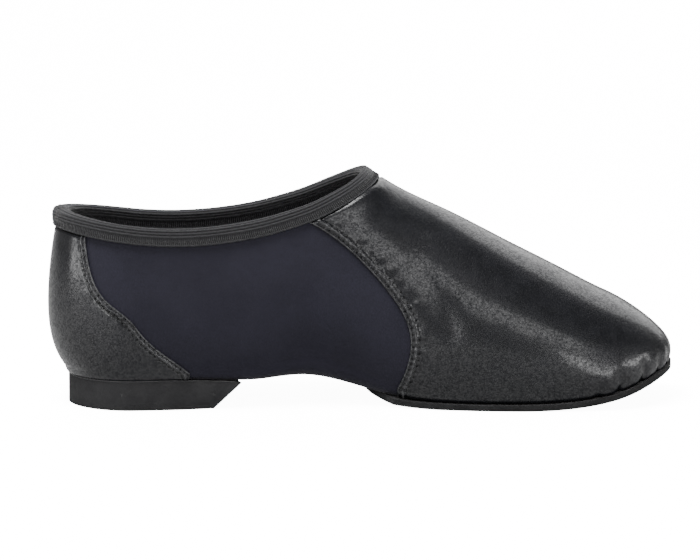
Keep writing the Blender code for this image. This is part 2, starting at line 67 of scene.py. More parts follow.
# Sections of the last: along as a share of the shoe's length; half, centre, lean and flare of the ball's width; how
# much of the heel, the sole and the toe spring stands under it; ridge as a share of the instep's height; and round of
# the largest corner between side and underside.
SECTION_COLUMNS = ("along", "half", "centre", "lean", "flare", "heel", "sole", "spring", "ridge", "round")
SECTIONS = (
    (0.000, 0.335, 0.000, 0.000, 0.030, 1.00, 0.00, 0.00, 1.240, 0.33),
    (0.135, 0.345, 0.000, 0.000, 0.040, 1.00, 0.00, 0.00, 1.270, 0.33),
    (0.245, 0.334, 0.010, -0.006, 0.050, 0.97, 0.00, 0.00, 1.240, 0.36),
    (0.335, 0.312, 0.028, -0.026, 0.064, 0.88, 0.00, 0.00, 1.200, 0.60),
    (0.408, 0.308, 0.049, -0.051, 0.076, 0.95, 0.00, 0.00, 1.140, 0.90),
    (0.482, 0.340, 0.064, -0.077, 0.076, 0.59, 0.25, 0.00, 1.045, 0.80),
    (0.551, 0.391, 0.064, -0.090, 0.064, 0.10, 0.98, 0.00, 0.925, 0.45),
    (0.633, 0.462, 0.051, -0.083, 0.045, 0.00, 0.98, 0.00, 0.815, 0.33),
    (0.735, 0.500, 0.028, -0.064, 0.038, 0.00, 0.98, 0.00, 0.670, 0.33),
    (0.816, 0.485, 0.000, -0.038, 0.032, 0.00, 1.00, 0.06, 0.556, 0.33),
    (0.890, 0.430, -0.032, -0.013, 0.026, 0.00, 1.00, 0.28, 0.452, 0.33),
    (0.947, 0.370, -0.051, 0.000, 0.019, 0.00, 1.00, 0.62, 0.390, 0.33),
    (1.000, 0.300, -0.070, 0.000, 0.013, 0.00, 1.00, 1.00, 0.340, 0.33),
)
# Height of the topline, as a share of the back's height.
TOPLINE_COLUMNS = ("along", "height")
TOPLINE = (
    (0.000, 1.008),
    (0.061, 0.978),
    (0.143, 0.940),
    (0.212, 0.929),
    (0.286, 0.946),
    (0.347, 0.981),
    (0.388, 1.018),
    (0.424, 1.059),
    (0.451, 1.100),
    (0.478, 1.144),
    (0.498, 1.182),
)
# Guide lines up the last from the feather edge: the share of the way round the plan's edge from heel to toe, then
# three points of the flattened plan, x as a share of the shoe's length and y of the half breadth.
GUIDE_COLUMNS = ("line", "rim", "x1", "y1", "x2", "y2", "x3", "y3")
GUIDES = (
    (0, 0.000, 0.047, 0.00, 0.062, 0.00, 0.098, 0.00),
    (5, 0.130, 0.072, 0.70, 0.061, 0.37, 0.094, 0.17),
    (9, 0.231, 0.155, 0.915, 0.070, 0.925, 0.096, 0.36),
    (13, 0.380, 0.322, 0.88, 0.248, 0.75, 0.240, 0.45),
    (18, 0.537, 0.588, 0.83, 0.592, 0.67, 0.385, 0.56),
    (21, 0.670, 0.668, 0.80, 0.608, 0.56, 0.474, 0.30),
    (25, 0.825, 0.800, 0.62, 0.668, 0.36, 0.486, 0.15),
    (33, 1.000, 0.878, 0.00, 0.694, 0.00, 0.480, 0.00),
)
OPENING_MIDDLE, OPENING_RAY = 65 * MM, 0.4 * SHOE_LENGTH
TOPLINE_POINTS, CUFF_POINTS = 240, 13
COUNTER_LINE, VAMP_LINE, TOE_LINE = 9, 18, 33
INNER, OUTER = -1, 1


def natural_spline(xs, ys):
    """The natural cubic spline through the points, straight past both ends."""
    xs, ys = np.asarray(xs, float), np.asarray(ys, float)
    n = len(xs)
    h = np.diff(xs)
    slope = np.diff(ys) / h
    system, right = np.eye(n), np.zeros(n)
    for i in range(1, n - 1):
        system[i, i - 1 : i + 2] = h[i - 1], 2 * (h[i - 1] + h[i]), h[i]
        right[i] = 6 * (slope[i] - slope[i - 1])
    bend = np.linalg.solve(system, right)
    start = slope[0] - h[0] * bend[1] / 6
    end = slope[-1] + h[-1] * bend[-2] / 6

    def at(x):
        x = np.asarray(x, float)
        inside = np.clip(x, xs[0], xs[-1])
        i = np.clip(np.searchsorted(xs, inside, side="right") - 1, 0, n - 2)
        a, b = xs[i + 1] - inside, inside - xs[i]
        value = (bend[i] * a**3 + bend[i + 1] * b**3) / (6 * h[i])
        value += (ys[i] / h[i] - bend[i] * h[i] / 6) * a + (ys[i + 1] / h[i] - bend[i + 1] * h[i] / 6) * b
        return value + start * np.minimum(x - xs[0], 0) + end * np.maximum(x - xs[-1], 0)

    return at


def steady_curve(xs, ys):
    """A smooth curve through the points that never swings past them."""
    xs, ys = np.asarray(xs, float), np.asarray(ys, float)
    h = np.diff(xs)
    slope = np.diff(ys) / h
    before, after = slope[:-1], slope[1:]
    same_way = before * after > 0
    mean = 2 * before * after / np.where(same_way, before + after, 1)
    tangent = np.concatenate([slope[:1], np.where(same_way, mean, 0), slope[-1:]])

    def at(x):
        i = int(np.clip(np.searchsorted(xs, x, side="right") - 1, 0, len(xs) - 2))
        t = (x - xs[i]) / h[i]
        value = ys[i] * (1 + 2 * t) * (1 - t) ** 2 + ys[i + 1] * t**2 * (3 - 2 * t)
        return value + h[i] * (tangent[i] * t * (1 - t) ** 2 - tangent[i + 1] * t**2 * (1 - t))

    return at


def rows_of(names, rows):
    """The rows of a table, each with its values by their column's name."""
    return [dict(zip(names, row)) for row in rows]


def columns(names, rows, along, curve):
    """One curve for each column of a table, against its first column times along."""
    table = dict(zip(names, zip(*rows)))
    first = np.array(table[names[0]]) * along
    return {name: curve(first, table[name]) for name in names[1:]}


SECTION = columns(SECTION_COLUMNS, SECTIONS, SHOE_LENGTH, natural_spline)
TOP = columns(TOPLINE_COLUMNS, TOPLINE, SHOE_LENGTH, natural_spline)
GUIDE = columns(GUIDE_COLUMNS, GUIDES, 1, steady_curve)
SPINE = (HEEL_FOOT + HEEL_CAP, SHOE_LENGTH - TOE_FOOT - TOE_CAP)


def feather_height(x):
    """Height of the underside of the upper, x from the back of the shoe."""
    lift = SECTION["heel"](x) * HEEL_HEIGHT + SECTION["spring"](x) * TOE_SPRING
    return FIT_GAP + lift + SECTION["sole"](x) * SOLE_THICKNESS


def underside(x, lift):
    """Height of a layer above or below the underside of the upper, lift being square to it."""
    slope = (feather_height(x + MM) - feather_height(x - MM)) / (2 * MM)
    return feather_height(x) + lift * np.sqrt(1 + slope**2)


def feather_round(x):
    """Radius of the corner between side and underside."""
    return np.maximum(SECTION["round"](x), 0.3) * FEATHER_ROUND


def last_surface(x_flat, y_flat):
    """Points on the face of the upper, for points of the flattened plan: x from the back of the shoe, y from -1 at
    the inner feather edge to 1 at the outer one."""
    x_flat, y_flat = np.asarray(x_flat, float), np.asarray(y_flat, float)
    spine = np.clip(x_flat, *SPINE)
    at_heel = x_flat < spine
    cap = np.where(at_heel, HEEL_CAP, TOE_CAP)
    out = (x_flat - spine) / cap
    radius = np.maximum(np.hypot(out, y_flat), 1e-9)
    climb = 1 - radius
    plan = radius**3 + 3 * climb * radius**2 + 3 * climb**2 * radius * CROWN
    rise = 3 * climb * radius**2 * SHOULDER + 3 * climb**2 * radius + climb**3
    end, side = out / radius * plan, y_flat / radius * plan
    x = spine + cap * end
    low = feather_height(x) + feather_round(x)
    height = rise * (SECTION["ridge"](x) * INSTEP_HEIGHT - low)
    swing = 1 - np.exp(-np.maximum(height, 0) / TUCK_RISE)
    half = SECTION["half"](x) + SECTION["flare"](x) * swing
    y = SECTION["centre"](x) + SECTION["lean"](x) * rise + side * half
    x = x + np.where(at_heel, HEEL_TUCK, TOE_TUCK) * end * swing
    return np.stack([x, y * BALL_WIDTH, low + height], axis=-1)


def on_last(flat, side=OUTER):
    """The same for an array of points of the flattened plan, mirrored for the inner side."""
    return last_surface(flat[..., 0], side * flat[..., 1])


def way_along(points):
    """The way along a run of points, from 0 at the first."""
    return np.concatenate([[0], np.cumsum(np.linalg.norm(np.diff(points, axis=0), axis=1))])


def points_at(ways, way, points):
    """Places at the given ways along a run of points."""
    return np.stack([np.interp(ways, way, column) for column in points.T], axis=-1)


def centred(points):
    """The points with x counted from the middle of the shoe, where the part's origin is."""
    return points - (SHOE_LENGTH / 2, 0, 0)


def plan_rim(share):
    """Point of the flattened plan's edge, 0 at the back of the heel and 1 at the toe, for the outer side."""
    heel_arc, run, toe_arc = math.pi / 2 * HEEL_CAP, SPINE[1] - SPINE[0], math.pi / 2 * TOE_CAP
    way = share * (heel_arc + run + toe_arc)
    if way < heel_arc:
        angle = way / HEEL_CAP
        return SPINE[0] - HEEL_CAP * math.cos(angle), math.sin(angle)
    if way < heel_arc + run:
        return SPINE[0] + way - heel_arc, 1.0
    angle = (heel_arc + run + toe_arc - way) / TOE_CAP
    return SPINE[1] + TOE_CAP * math.cos(angle), math.sin(angle)


def topline_plan(share):
    """The topline on the flattened plan for the outer side, 0 at the back of the heel and 1 at the throat."""
    angle = math.pi * (1 - share)
    ray = np.array([OPENING_RAY * math.cos(angle), math.sin(angle)])
    flat = np.array([OPENING_MIDDLE, 0]) + np.linspace(0.01, 2.0, 1000)[:, None] * ray
    spine = np.clip(flat[:, 0], *SPINE)
    flat = flat[np.hypot((flat[:, 0] - spine) / np.where(flat[:, 0] < spine, HEEL_CAP, TOE_CAP), flat[:, 1]) < 1]
    points = on_last(flat)
    return points_at(0, TOP["height"](points[:, 0]) * BACK_HEIGHT - points[:, 2], flat)


TOPLINE_FLAT = np.array([topline_plan(share) for share in np.linspace(0, 1, TOPLINE_POINTS)])
TOPLINE_AT = {side: on_last(TOPLINE_FLAT, side) for side in (INNER, OUTER)}
CUFF = BINDING_WIDTH + FIT_GAP


def rim_point(line, side):
    """Point of the feather line, also a little past the middle of heel or toe."""
    if line < 0:
        line, side = -line, -side
    if line > TOE_LINE:
        line, side = 2 * TOE_LINE - line, -side
    x_flat, y_flat = plan_rim(float(GUIDE["rim"](line)))
    return last_surface(x_flat, side * y_flat)


def plan_inward(line, side):
    """Unit vector in plan, square to the feather edge and pointing into the shoe."""
    before, after = (rim_point(line + shift, side) for shift in (-0.05, 0.05))
    way = (after - before)[:2]
    inward = np.array([way[1], -way[0]]) * side
    return np.append(inward / np.linalg.norm(inward), 0)


def run_of(line, side, steps=160):
    """One line over the last, from the lasted margin round the feather edge and up to the topline. Gives the way
    along it (0 at the feather edge), its points, the way at the binding's lower edge and the feather's radius."""
    at = {name: float(curve(line)) for name, curve in GUIDE.items()}
    corners = [plan_rim(at["rim"])] + [(at["x" + i] * SHOE_LENGTH, at["y" + i]) for i in "123"]
    w = np.linspace(0, 1, steps)[:, None]
    blend = ((1 - w) ** 3, 3 * w * (1 - w) ** 2, 3 * w**2 * (1 - w), w**3)
    flat = sum(b * np.array(corner) for b, corner in zip(blend, corners))
    points, topline = on_last(flat, side), TOPLINE_AT[side]
    apart = np.linalg.norm(points[:, None] - topline[None], axis=2)
    nearest = apart.min(axis=1)
    last = int(np.argmax(nearest < CUFF))
    share = (nearest[last - 1] - CUFF) / (nearest[last - 1] - nearest[last])
    edge = flat[last - 1] + share * (flat[last] - flat[last - 1])
    near = int(np.clip(np.argmin(apart[last]), 1, len(topline) - 2))
    spans = topline[near + 1] - topline[near - 1]
    shift = float(np.clip((points[last] - topline[near]) @ spans / (spans @ spans), -0.5, 0.5))
    top = TOPLINE_FLAT[near] + shift * (TOPLINE_FLAT[near + 1] - TOPLINE_FLAT[near - 1])
    under = on_last(edge + (top - edge) * np.linspace(0, 1, CUFF_POINTS)[:, None], side)
    wall = np.vstack([points[:last], under[:1]])
    foot, inward, radius = wall[0], plan_inward(line, side), float(feather_round(wall[0][0]))
    margin, turn = np.linspace(1, 0, 6)[:-1], np.linspace(math.pi / 2, 0, 9)[:-1]
    inset = np.concatenate([radius + MARGIN * margin, radius * (1 - np.cos(turn))])
    drop = np.concatenate([np.full_like(margin, radius), radius * np.sin(turn)])
    below = foot + inset[:, None] * inward
    below[:, 2] = feather_height(below[:, 0]) + radius - drop
    points = np.vstack([below, wall, under[1:]])
    way = way_along(points)
    way -= way[len(below)]
    return way, points, way[len(below) + len(wall) - 1], radius


def pull_over(lines, rows):
    """Points for a grid over the last. lines holds (line, side) of each column; rows gives the ways up a column from
    its reach (margin, half turn, cuff, topline)."""
    grid = []
    for line, side in lines:
        way, points, cuff, radius = run_of(line, side)
        ways = rows({"margin": way[0], "turn": -radius * math.pi / 4, "cuff": cuff, "top": way[-1]})
        grid.append(points_at(ways, way, points))
    return centred(np.array(grid).transpose(1, 0, 2))


def map_faces(bm, flat):
    """The panel's own UV map, from a point for each vertex."""
    layer = bm.loops.layers.uv.new("UVMap")
    bm.verts.index_update()
    for face in bm.faces:
        for loop in face.loops:
            loop[layer].uv = flat[loop.vert.index]


def lay(places, uv=None):
    """A flat grid laid down point by point on the given places, its face outwards."""
    rows, across = places.shape[:2]
    bm = bmesh.new()
    bmesh.ops.create_grid(bm, x_segments=across - 1, y_segments=rows - 1, size=1)
    for vert, place in zip(bm.verts, places.reshape(-1, 3)):
        vert.co = place
    if uv is not None:
        map_faces(bm, uv.reshape(-1, 2))
    bmesh.ops.reverse_faces(bm, faces=bm.faces)
    bm.normal_update()
    return bm


def swell(bm, heights):
    """Move every vertex out along its normal."""
    for vert, normal, height in zip(bm.verts, [v.normal.copy() for v in bm.verts], heights):
        vert.co += normal * float(height)
    bm.normal_update()


def add_piece(name, bm, materials, slot, *nodes):
    """The finished piece: smooth, riding on the shoe, standing for its CAD nodes."""
    mesh = bpy.data.meshes.new(name)
    bm.to_mesh(mesh)
    bm.free()
    for finish in materials:
        mesh.materials.append(finish)
    mesh.shade_smooth()
    obj = bpy.data.objects.new(name, mesh)
    bpy.context.scene.collection.objects.link(obj)
    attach(obj, "root")
    if nodes:
        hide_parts(*nodes)
    return obj


def give_wall(obj, thickness, inside=0, rim=0):
    """A wall inwards from the outer face."""
    wall = obj.modifiers.new("wall", "SOLIDIFY")
    wall.thickness = thickness
    wall.offset = -1
    wall.use_even_offset = False
    wall.material_offset, wall.material_offset_rim = inside, rim


def group_input(group, **sockets):
    """The named inputs of a node group, each with its usual value."""
    for name, value in sockets.items():
        kind = "NodeSocketVector" if value is None else "NodeSocketFloat"
        socket = group.interface.new_socket(name=name, in_out="INPUT", socket_type=kind)
        if value is not None:
            socket.default_value = value
    return group.nodes.new("NodeGroupInput")


def group_output(group, **links):
    """The named outputs of a node group, each fed by a socket."""
    for name, source in links.items():
        kind = "NodeSocketColor" if source.type == "RGBA" else "NodeSocketFloat"
        group.interface.new_socket(name=name, in_out="OUTPUT", socket_type=kind)
    end = group.nodes.new("NodeGroupOutput")
    for name, source in links.items():
        group.links.new(source, end.inputs[name])


def feed(tree, socket, value):
    """Set a socket to a number or colour, or link it where the value comes from another node."""
    if isinstance(value, (int, float)):
        socket.default_value = value
    elif isinstance(value, tuple):
        socket.default_value = (*value, 1)
    else:
        tree.links.new(value, socket)


def maths(tree, operation, *values):
    """A Math node fed by sockets or numbers."""
    node = tree.nodes.new("ShaderNodeMath")
    node.operation = operation
    for socket, value in zip(node.inputs, values):
        feed(tree, socket, value)
    return node.outputs[0]


def ranged(tree, value, low, high, least=0.0, most=1.0, easing="LINEAR"):
    """A value brought from one range to another."""
    node = tree.nodes.new("ShaderNodeMapRange")
    node.interpolation_type = easing
    tree.links.new(value, node.inputs["Value"])
    for name, number in (("From Min", low), ("From Max", high), ("To Min", least), ("To Max", most)):
        node.inputs[name].default_value = number
    return node.outputs["Result"]


def split_place(tree, place):
    """The parts of a place or a map, one output each."""
    node = tree.nodes.new("ShaderNodeSeparateXYZ")
    tree.links.new(place, node.inputs[0])
    return node.outputs


def patches(tree, place, scale, detail=2.0, rough=0.5, low=0.35, high=0.65):
    """Soft cloudy patches from 0 to 1."""
    cloud = tree.nodes.new("ShaderNodeTexNoise")
    tree.links.new(place, cloud.inputs["Vector"])
    feed(tree, cloud.inputs["Scale"], scale)
    cloud.inputs["Detail"].default_value = detail
    cloud.inputs["Roughness"].default_value = rough
    return ranged(tree, cloud.outputs["Fac"], low, high, easing="SMOOTHSTEP")


def knit_group():
    """Fine knit or woven cloth: rows of small loops with a little uneven pull."""
    group = bpy.data.node_groups.new("fine_knit", "ShaderNodeTree")
    start = group_input(group, Place=None, Loops=1600.0, Uneven=0.4)
    cell = group.nodes.new("ShaderNodeTexVoronoi")
    group.links.new(start.outputs["Place"], cell.inputs["Vector"])
    group.links.new(start.outputs["Loops"], cell.inputs["Scale"])
    cell.inputs["Randomness"].default_value = 0.55
    cloud = patches(group, start.outputs["Place"], 260.0)
    pull = maths(group, "MULTIPLY", cloud, start.outputs["Uneven"])
    loop = maths(group, "SUBTRACT", 1.0, cell.outputs["Distance"])
    group_output(group, Height=maths(group, "ADD", loop, pull), Loop=loop)
    return group


KNIT = knit_group()


def plain_finish(name, colour, roughness, **constants):
    """A material with its shader; the constants go on the shader's own sockets."""
    made = bpy.data.materials.new(name)
    made.use_nodes = True
    shader = made.node_tree.nodes["Principled BSDF"]
    shader.inputs["Base Color"].default_value = (*colour, 1)
    shader.inputs["Roughness"].default_value = roughness
    for socket, value in constants.items():
        shader.inputs[socket.replace("_", " ")].default_value = value
    where = made.node_tree.nodes.new("ShaderNodeTexCoord")
    return made, made.node_tree, shader, where


def use_group(tree, group, place, **values):
    """A node group placed in a material with its own values."""
    node = tree.nodes.new("ShaderNodeGroup")
    node.node_tree = group
    tree.links.new(place, node.inputs["Place"])
    for name, value in values.items():
        node.inputs[name].default_value = value
    return node


def blend_colours(tree, share, first, second):
    """A colour between two, by a share from 0 to 1."""
    node = tree.nodes.new("ShaderNodeMix")
    node.data_type = "RGBA"
    tree.links.new(share, node.inputs[0])
    feed(tree, node.inputs[6], first)
    feed(tree, node.inputs[7], second)
    return node.outputs[2]


def paint(tree, shader, share, first, second):
    """The shader's colour, blended between two by a share."""
    tree.links.new(blend_colours(tree, share, first, second), shader.inputs["Base Color"])


def emboss(tree, shader, height, distance):
    """Bump that feeds the shader's normal."""
    bump = tree.nodes.new("ShaderNodeBump")
    bump.inputs["Distance"].default_value = distance
    tree.links.new(height, bump.inputs["Height"])
    tree.links.new(bump.outputs["Normal"], shader.inputs["Normal"])


def cloth_finish(name, dark, light, roughness, loops, relief, **constants):
    """Knit or woven cloth: two tones in random patches, painted lighter on the loops and darker between them as
    painted shade, and loops raised by bump.
    """
    made, tree, shader, where = plain_finish(name, dark, roughness, **constants)
    knit = use_group(tree, KNIT, where.outputs["Object"], Loops=loops)
    shade = maths(tree, "MULTIPLY", patches(tree, where.outputs["Object"], 45.0), 0.6)
    # Painted shade: the loops lighter and the gaps between them darker, over the cloth's own patchy tone.
    shade = maths(tree, "ADD", shade, maths(tree, "MULTIPLY", knit.outputs["Loop"], 0.4))
    paint(tree, shader, shade, dark, light)
    emboss(tree, shader, knit.outputs["Height"], relief)
    return made


NEOPRENE = cloth_finish(
    "navy_black_neoprene", (0.022, 0.0205, 0.039), (0.034, 0.032, 0.057), 0.75, 1900.0, 0.05 * MM,
    Sheen_Weight=0.35, Sheen_Roughness=0.45, Specular_IOR_Level=0.35,
)
LINING = cloth_finish(
    "black_lining", (0.008, 0.008, 0.009), (0.014, 0.014, 0.015), 0.9, 1300.0, 0.08 * MM, Sheen_Weight=0.2,
)

QUARTER_COLUMNS, MARGIN_ROWS, WALL_ROWS, CUFF_ROWS = 133, 12, 56, 7


def quarter_rows(reach):
    """Ways up a column: the lasted margin, the wall, and the strip under the binding."""
    margin, cuff = reach["margin"], reach["cuff"]
    wall = np.linspace(0, cuff, WALL_ROWS)
    return np.concatenate([
        np.linspace(margin, 0, MARGIN_ROWS)[:-1], wall, np.linspace(cuff, reach["top"], CUFF_ROWS)[1:],
    ])


quarter_lines = [(line, OUTER) for line in np.linspace(0, TOE_LINE, QUARTER_COLUMNS)]
quarter_lines += [(line, INNER) for line in np.linspace(TOE_LINE, 0, QUARTER_COLUMNS)[1:]]
quarters = lay(pull_over(quarter_lines, quarter_rows))
bmesh.ops.remove_doubles(quarters, verts=quarters.verts, dist=0.01 * MM)
floor_edges = []
for edge in quarters.edges:
    along = (edge.verts[0].co.x + edge.verts[1].co.x) / 2 + SHOE_LENGTH / 2
    if edge.is_boundary and edge.verts[0].co.z < ARCH_BELOW and ARCH_FROM < along < ARCH_TO:
        floor_edges.append(edge)
bridge = bmesh.ops.bridge_loops(quarters, edges=floor_edges)
strips = bmesh.ops.subdivide_edges(quarters, edges=bridge["edges"], cuts=9, use_grid_fill=True)
belly = sorted({v for v in strips["geom_inner"] if isinstance(v, bmesh.types.BMVert)}, key=lambda v: v.co.x)
sag_from = HEEL_FOOT + HEEL_INSET + HEEL_SEAT_LENGTH
for vert in belly:
    x = vert.co.x + SHOE_LENGTH / 2
    along = min(max((x - sag_from) / (SAG_TO - sag_from), 0), 1)
    half = float(SECTION["half"](x)) * BALL_WIDTH - SAG_EDGE
    across = min(abs(vert.co.y - float(SECTION["centre"](x)) * BALL_WIDTH) / half, 1)
    vert.co.z -= ARCH_SAG * math.sin(math.pi * along) ** 2 * (1 - across**2)
bmesh.ops.recalc_face_normals(quarters, faces=quarters.faces)
neoprene_quarters = add_piece("neoprene_quarters", quarters, (NEOPRENE, LINING), "neoprene", "upper")
give_wall(neoprene_quarters, UPPER_WALL, inside=1)

# Vamp: the forepart of the upper in soft, glossy pebbled leather. Its back edge is turned under and held by two rows
# of stitching with a puffed, puckered band between them, and it is gathered in pleats round the toe.
LEATHER_THICKNESS = 0.9 * MM
LEATHER_WALL = 0.8 * LEATHER_THICKNESS
VAMP_ROWS = (1.2 * MM, 3.7 * MM)
STITCH_PITCH = 2.25 * MM
EDGE_TURN = 0.8 * MM
GROOVE_DEPTH, GROOVE_WIDTH, PUCKER_REACH = 0.20 * MM, 0.5 * MM, 5 * MM
SEAM_DEPTH, SEAM_STEP = 0.22 * MM, 0.2 * MM
TUCK, TUCKED_LIFT = 0.9 * MM, 0.22 * MM
TOE_FULLNESS = 0.35 * MM
VAMP_UP, UP_SPREAD, VAMP_HEIGHT, TOE_FROM = 118, 1.15, 95 * MM, 24.5
# Soft folds over the vamp, each from one point of the flattened plan to another (x as a share of the shoe's length,
# y of the half breadth, -1 on the inner side), with its half width and height in millimetres; a minus is a trough.
FOLD_STEPS = 24
FOLD_COLUMNS = ("x1", "y1", "x2", "y2", "width", "height")
FOLDS = (
    (0.525, -0.16, 0.600, -0.25, 5.5, -0.5),
    (0.482, -0.42, 0.532, -0.15, 4.8, 1.15),
    (0.575, -0.46, 0.628, -0.77, 5.2, -0.9),
    (0.625, -0.48, 0.640, -0.76, 6.0, -0.5),
    (0.525, 0.19, 0.600, 0.30, 3.8, -0.7),
    (0.530, 0.28, 0.580, 0.38, 5.0, 0.6),
    (0.540, 0.43, 0.590, 0.56, 4.0, -0.5),
    (0.600, 0.52, 0.640, 0.72, 6.0, 0.5),
)
# Pleats at the toe: the guide line a pleat starts at (33 is the middle of the toe), how far it leans forward over
# 10 mm of height and its half width, both in lines, then its reach up the wall and its depth in millimetres.
PLEAT_COLUMNS = ("line", "lean", "width", "reach", "depth")
INNER_PLEATS = (
    (25.1, 1.0, 0.30, 5, 0.7),
    (26.3, 1.2, 0.28, 7, 1.3),
    (27.9, 1.0, 0.28, 7, 1.2),
    (29.5, 0.8, 0.30, 7, 0.8),
    (31.0, 0.5, 0.32, 7, 0.6),
    (32.2, 0.2, 0.30, 6, 0.4),
)
OUTER_PLEATS = (
    (26.0, 1.2, 0.28, 7, 1.0),
    (27.6, 1.2, 0.28, 8, 1.2),
    (29.2, 0.9, 0.28, 7, 0.9),
    (30.6, 0.6, 0.30, 7, 0.7),
    (32.1, 0.2, 0.30, 6, 0.4),
)
# Full pads of leather left standing between the pleats: guide line, height up the wall, half sizes and height.
PAD_COLUMNS = ("line", "up", "half_lines", "half", "height")
TOE_PADS = (
    (25.7, 4.6, 1.2, 5.4, 0.65),
    (28.4, 4.0, 1.0, 5.0, 0.2),
    (30.4, 4.0, 0.8, 5.0, 0.2),
)


def leather_group():
    """Pebbled leather: round grain in two sizes with shallow creases between, patchy polish."""
    group = bpy.data.node_groups.new("pebbled_leather", "ShaderNodeTree")
    start = group_input(group, Place=None, Pebble=1650.0, Crease=0.5)
    cells = []
    for factor in (1.0, 2.3):
        cell = group.nodes.new("ShaderNodeTexVoronoi")
        cell.feature = "SMOOTH_F1"
        cell.inputs["Smoothness"].default_value = 0.35
        group.links.new(start.outputs["Place"], cell.inputs["Vector"])
        group.links.new(maths(group, "MULTIPLY", start.outputs["Pebble"], factor), cell.inputs["Scale"])
        cells.append(cell)
    heights = [maths(group, "SUBTRACT", 1.0, cell.outputs["Distance"]) for cell in cells]
    glint = group.nodes.new("ShaderNodeSeparateColor")
    group.links.new(cells[0].outputs["Color"], glint.inputs[0])
    cloud = patches(group, start.outputs["Place"], 160.0, detail=4.0)
    height = maths(group, "MULTIPLY_ADD", heights[1], 0.35, heights[0])
    height = maths(group, "MULTIPLY_ADD", cloud, start.outputs["Crease"], height)
    valley = ranged(group, heights[0], 0.62, 0.38)
    group_output(group, Height=height, Patch=cloud, Valley=valley, Glint=glint.outputs[0])
    return group


def seam_group():
    """Two rows of stitches along an edge, on a map of the way along the seam and the distance from it: each row lies
    in a narrow groove with a needle hole at both ends of a stitch, and small puckers run off the holes."""
    group = bpy.data.node_groups.new("stitched_rows", "ShaderNodeTree")
    first, second = VAMP_ROWS
    start = group_input(group, Place=None, Pitch=STITCH_PITCH, First=first, Second=second, Pucker=0.5, Rubbed=0.7)
    along, off = split_place(group, start.outputs["Place"])[:2]
    turn = maths(group, "MULTIPLY", maths(group, "DIVIDE", along, start.outputs["Pitch"]), 2 * math.pi)
    beat = maths(group, "MULTIPLY_ADD", maths(group, "COSINE", turn), 0.5, 0.5)
    hole_beat = maths(group, "POWER", beat, 5.0)

    def from_line(place, width):
        """Distance from a line along the seam, in widths."""
        return maths(group, "DIVIDE", maths(group, "ABSOLUTE", maths(group, "SUBTRACT", off, place)), width)

    def soft_line(place, width):
        """1 on a line along the seam, and half as much a width away from it."""
        return maths(group, "POWER", 0.5, maths(group, "POWER", from_line(place, width), 2.0))

    total, holes = None, None
    for row in ("First", "Second"):
        groove = soft_line(start.outputs[row], 0.30 * MM)
        hole = maths(group, "MULTIPLY", groove, hole_beat)
        deep = maths(group, "MULTIPLY_ADD", hole, 1.1, maths(group, "MULTIPLY", groove, 0.7))
        near = maths(group, "POWER", 0.5, from_line(start.outputs[row], 0.8 * MM))
        pull = maths(group, "MULTIPLY", maths(group, "MULTIPLY", near, beat), start.outputs["Pucker"])
        deep = maths(group, "ADD", deep, pull)
        total = deep if total is None else maths(group, "ADD", total, deep)
        holes = hole if holes is None else maths(group, "MAXIMUM", holes, hole)
    # Painted highlight: a pale line along the turned edge and another on the puffed ridge between the rows, broken into
    # patches.
    rub = patches(group, start.outputs["Place"], 330.0, low=0.30, high=0.56)
    middle = maths(group, "MULTIPLY", maths(group, "ADD", start.outputs["First"], start.outputs["Second"]), 0.5)
    painted_highlight = maths(group, "MULTIPLY_ADD", soft_line(middle, 0.25 * MM), 0.9, soft_line(0.35 * MM, 0.20 * MM))
    painted_highlight = maths(group, "MULTIPLY", maths(group, "MULTIPLY", painted_highlight, rub), start.outputs["Rubbed"])
    group_output(group, Height=maths(group, "MULTIPLY", total, -1.0), Hole=holes, Worn=painted_highlight)
    return group


def leather_finish(name, pebble, relief, rows, pucker):
    """Black leather under a clear gloss coat; the pebbles break the gloss up, and the stitched rows follow its edge."""
    made, tree, shader, where = plain_finish(
        name, (0.010, 0.010, 0.011), 0.36, Specular_IOR_Level=0.3, Coat_Roughness=0.19, Coat_IOR=1.55,
    )
    grain = use_group(tree, LEATHER, where.outputs["Object"], Pebble=pebble)
    seam = use_group(tree, SEAM, where.outputs["UV"], First=rows[0], Second=rows[1], Pucker=pucker)
    shade = blend_colours(tree, grain.outputs["Patch"], (0.0085, 0.009, 0.0125), (0.012, 0.0125, 0.017))
    # Painted highlight in pale grey along the turned edge and the ridge between the rows.
    shade = blend_colours(tree, seam.outputs["Worn"], shade, (0.20, 0.20, 0.21))
    # The needle holes painted near black: painted shade in the holes.
    paint(tree, shader, seam.outputs["Hole"], shade, (0.002, 0.002, 0.002))
    rough = maths(tree, "MULTIPLY_ADD", grain.outputs["Patch"], 0.08, 0.36)
    tree.links.new(maths(tree, "MULTIPLY_ADD", seam.outputs["Hole"], 0.5, rough), shader.inputs["Roughness"])
    coat = maths(tree, "MULTIPLY_ADD", grain.outputs["Patch"], -0.08, 0.40)
    coat = maths(tree, "MULTIPLY_ADD", grain.outputs["Glint"], 0.90, coat)
    coat = maths(tree, "MULTIPLY_ADD", grain.outputs["Valley"], -0.35, coat)
    tree.links.new(maths(tree, "MULTIPLY_ADD", seam.outputs["Hole"], -0.5, coat), shader.inputs["Coat Weight"])
    height = maths(tree, "MULTIPLY", grain.outputs["Height"], relief / MM)
    emboss(tree, shader, maths(tree, "MULTIPLY_ADD", seam.outputs["Height"], SEAM_DEPTH / MM, height), MM)
    return made


LEATHER = leather_group()
SEAM = seam_group()
VAMP_LEATHER = leather_finish("vamp_glossy_leather", 1650.0, 0.075 * MM, VAMP_ROWS, 0.7)


def search_tree(points):
    """A tree that finds the nearest of the points."""
    tree = kdtree.KDTree(len(points))
    for i, point in enumerate(points):
        tree.insert(point, i)
    tree.balance()
    return tree


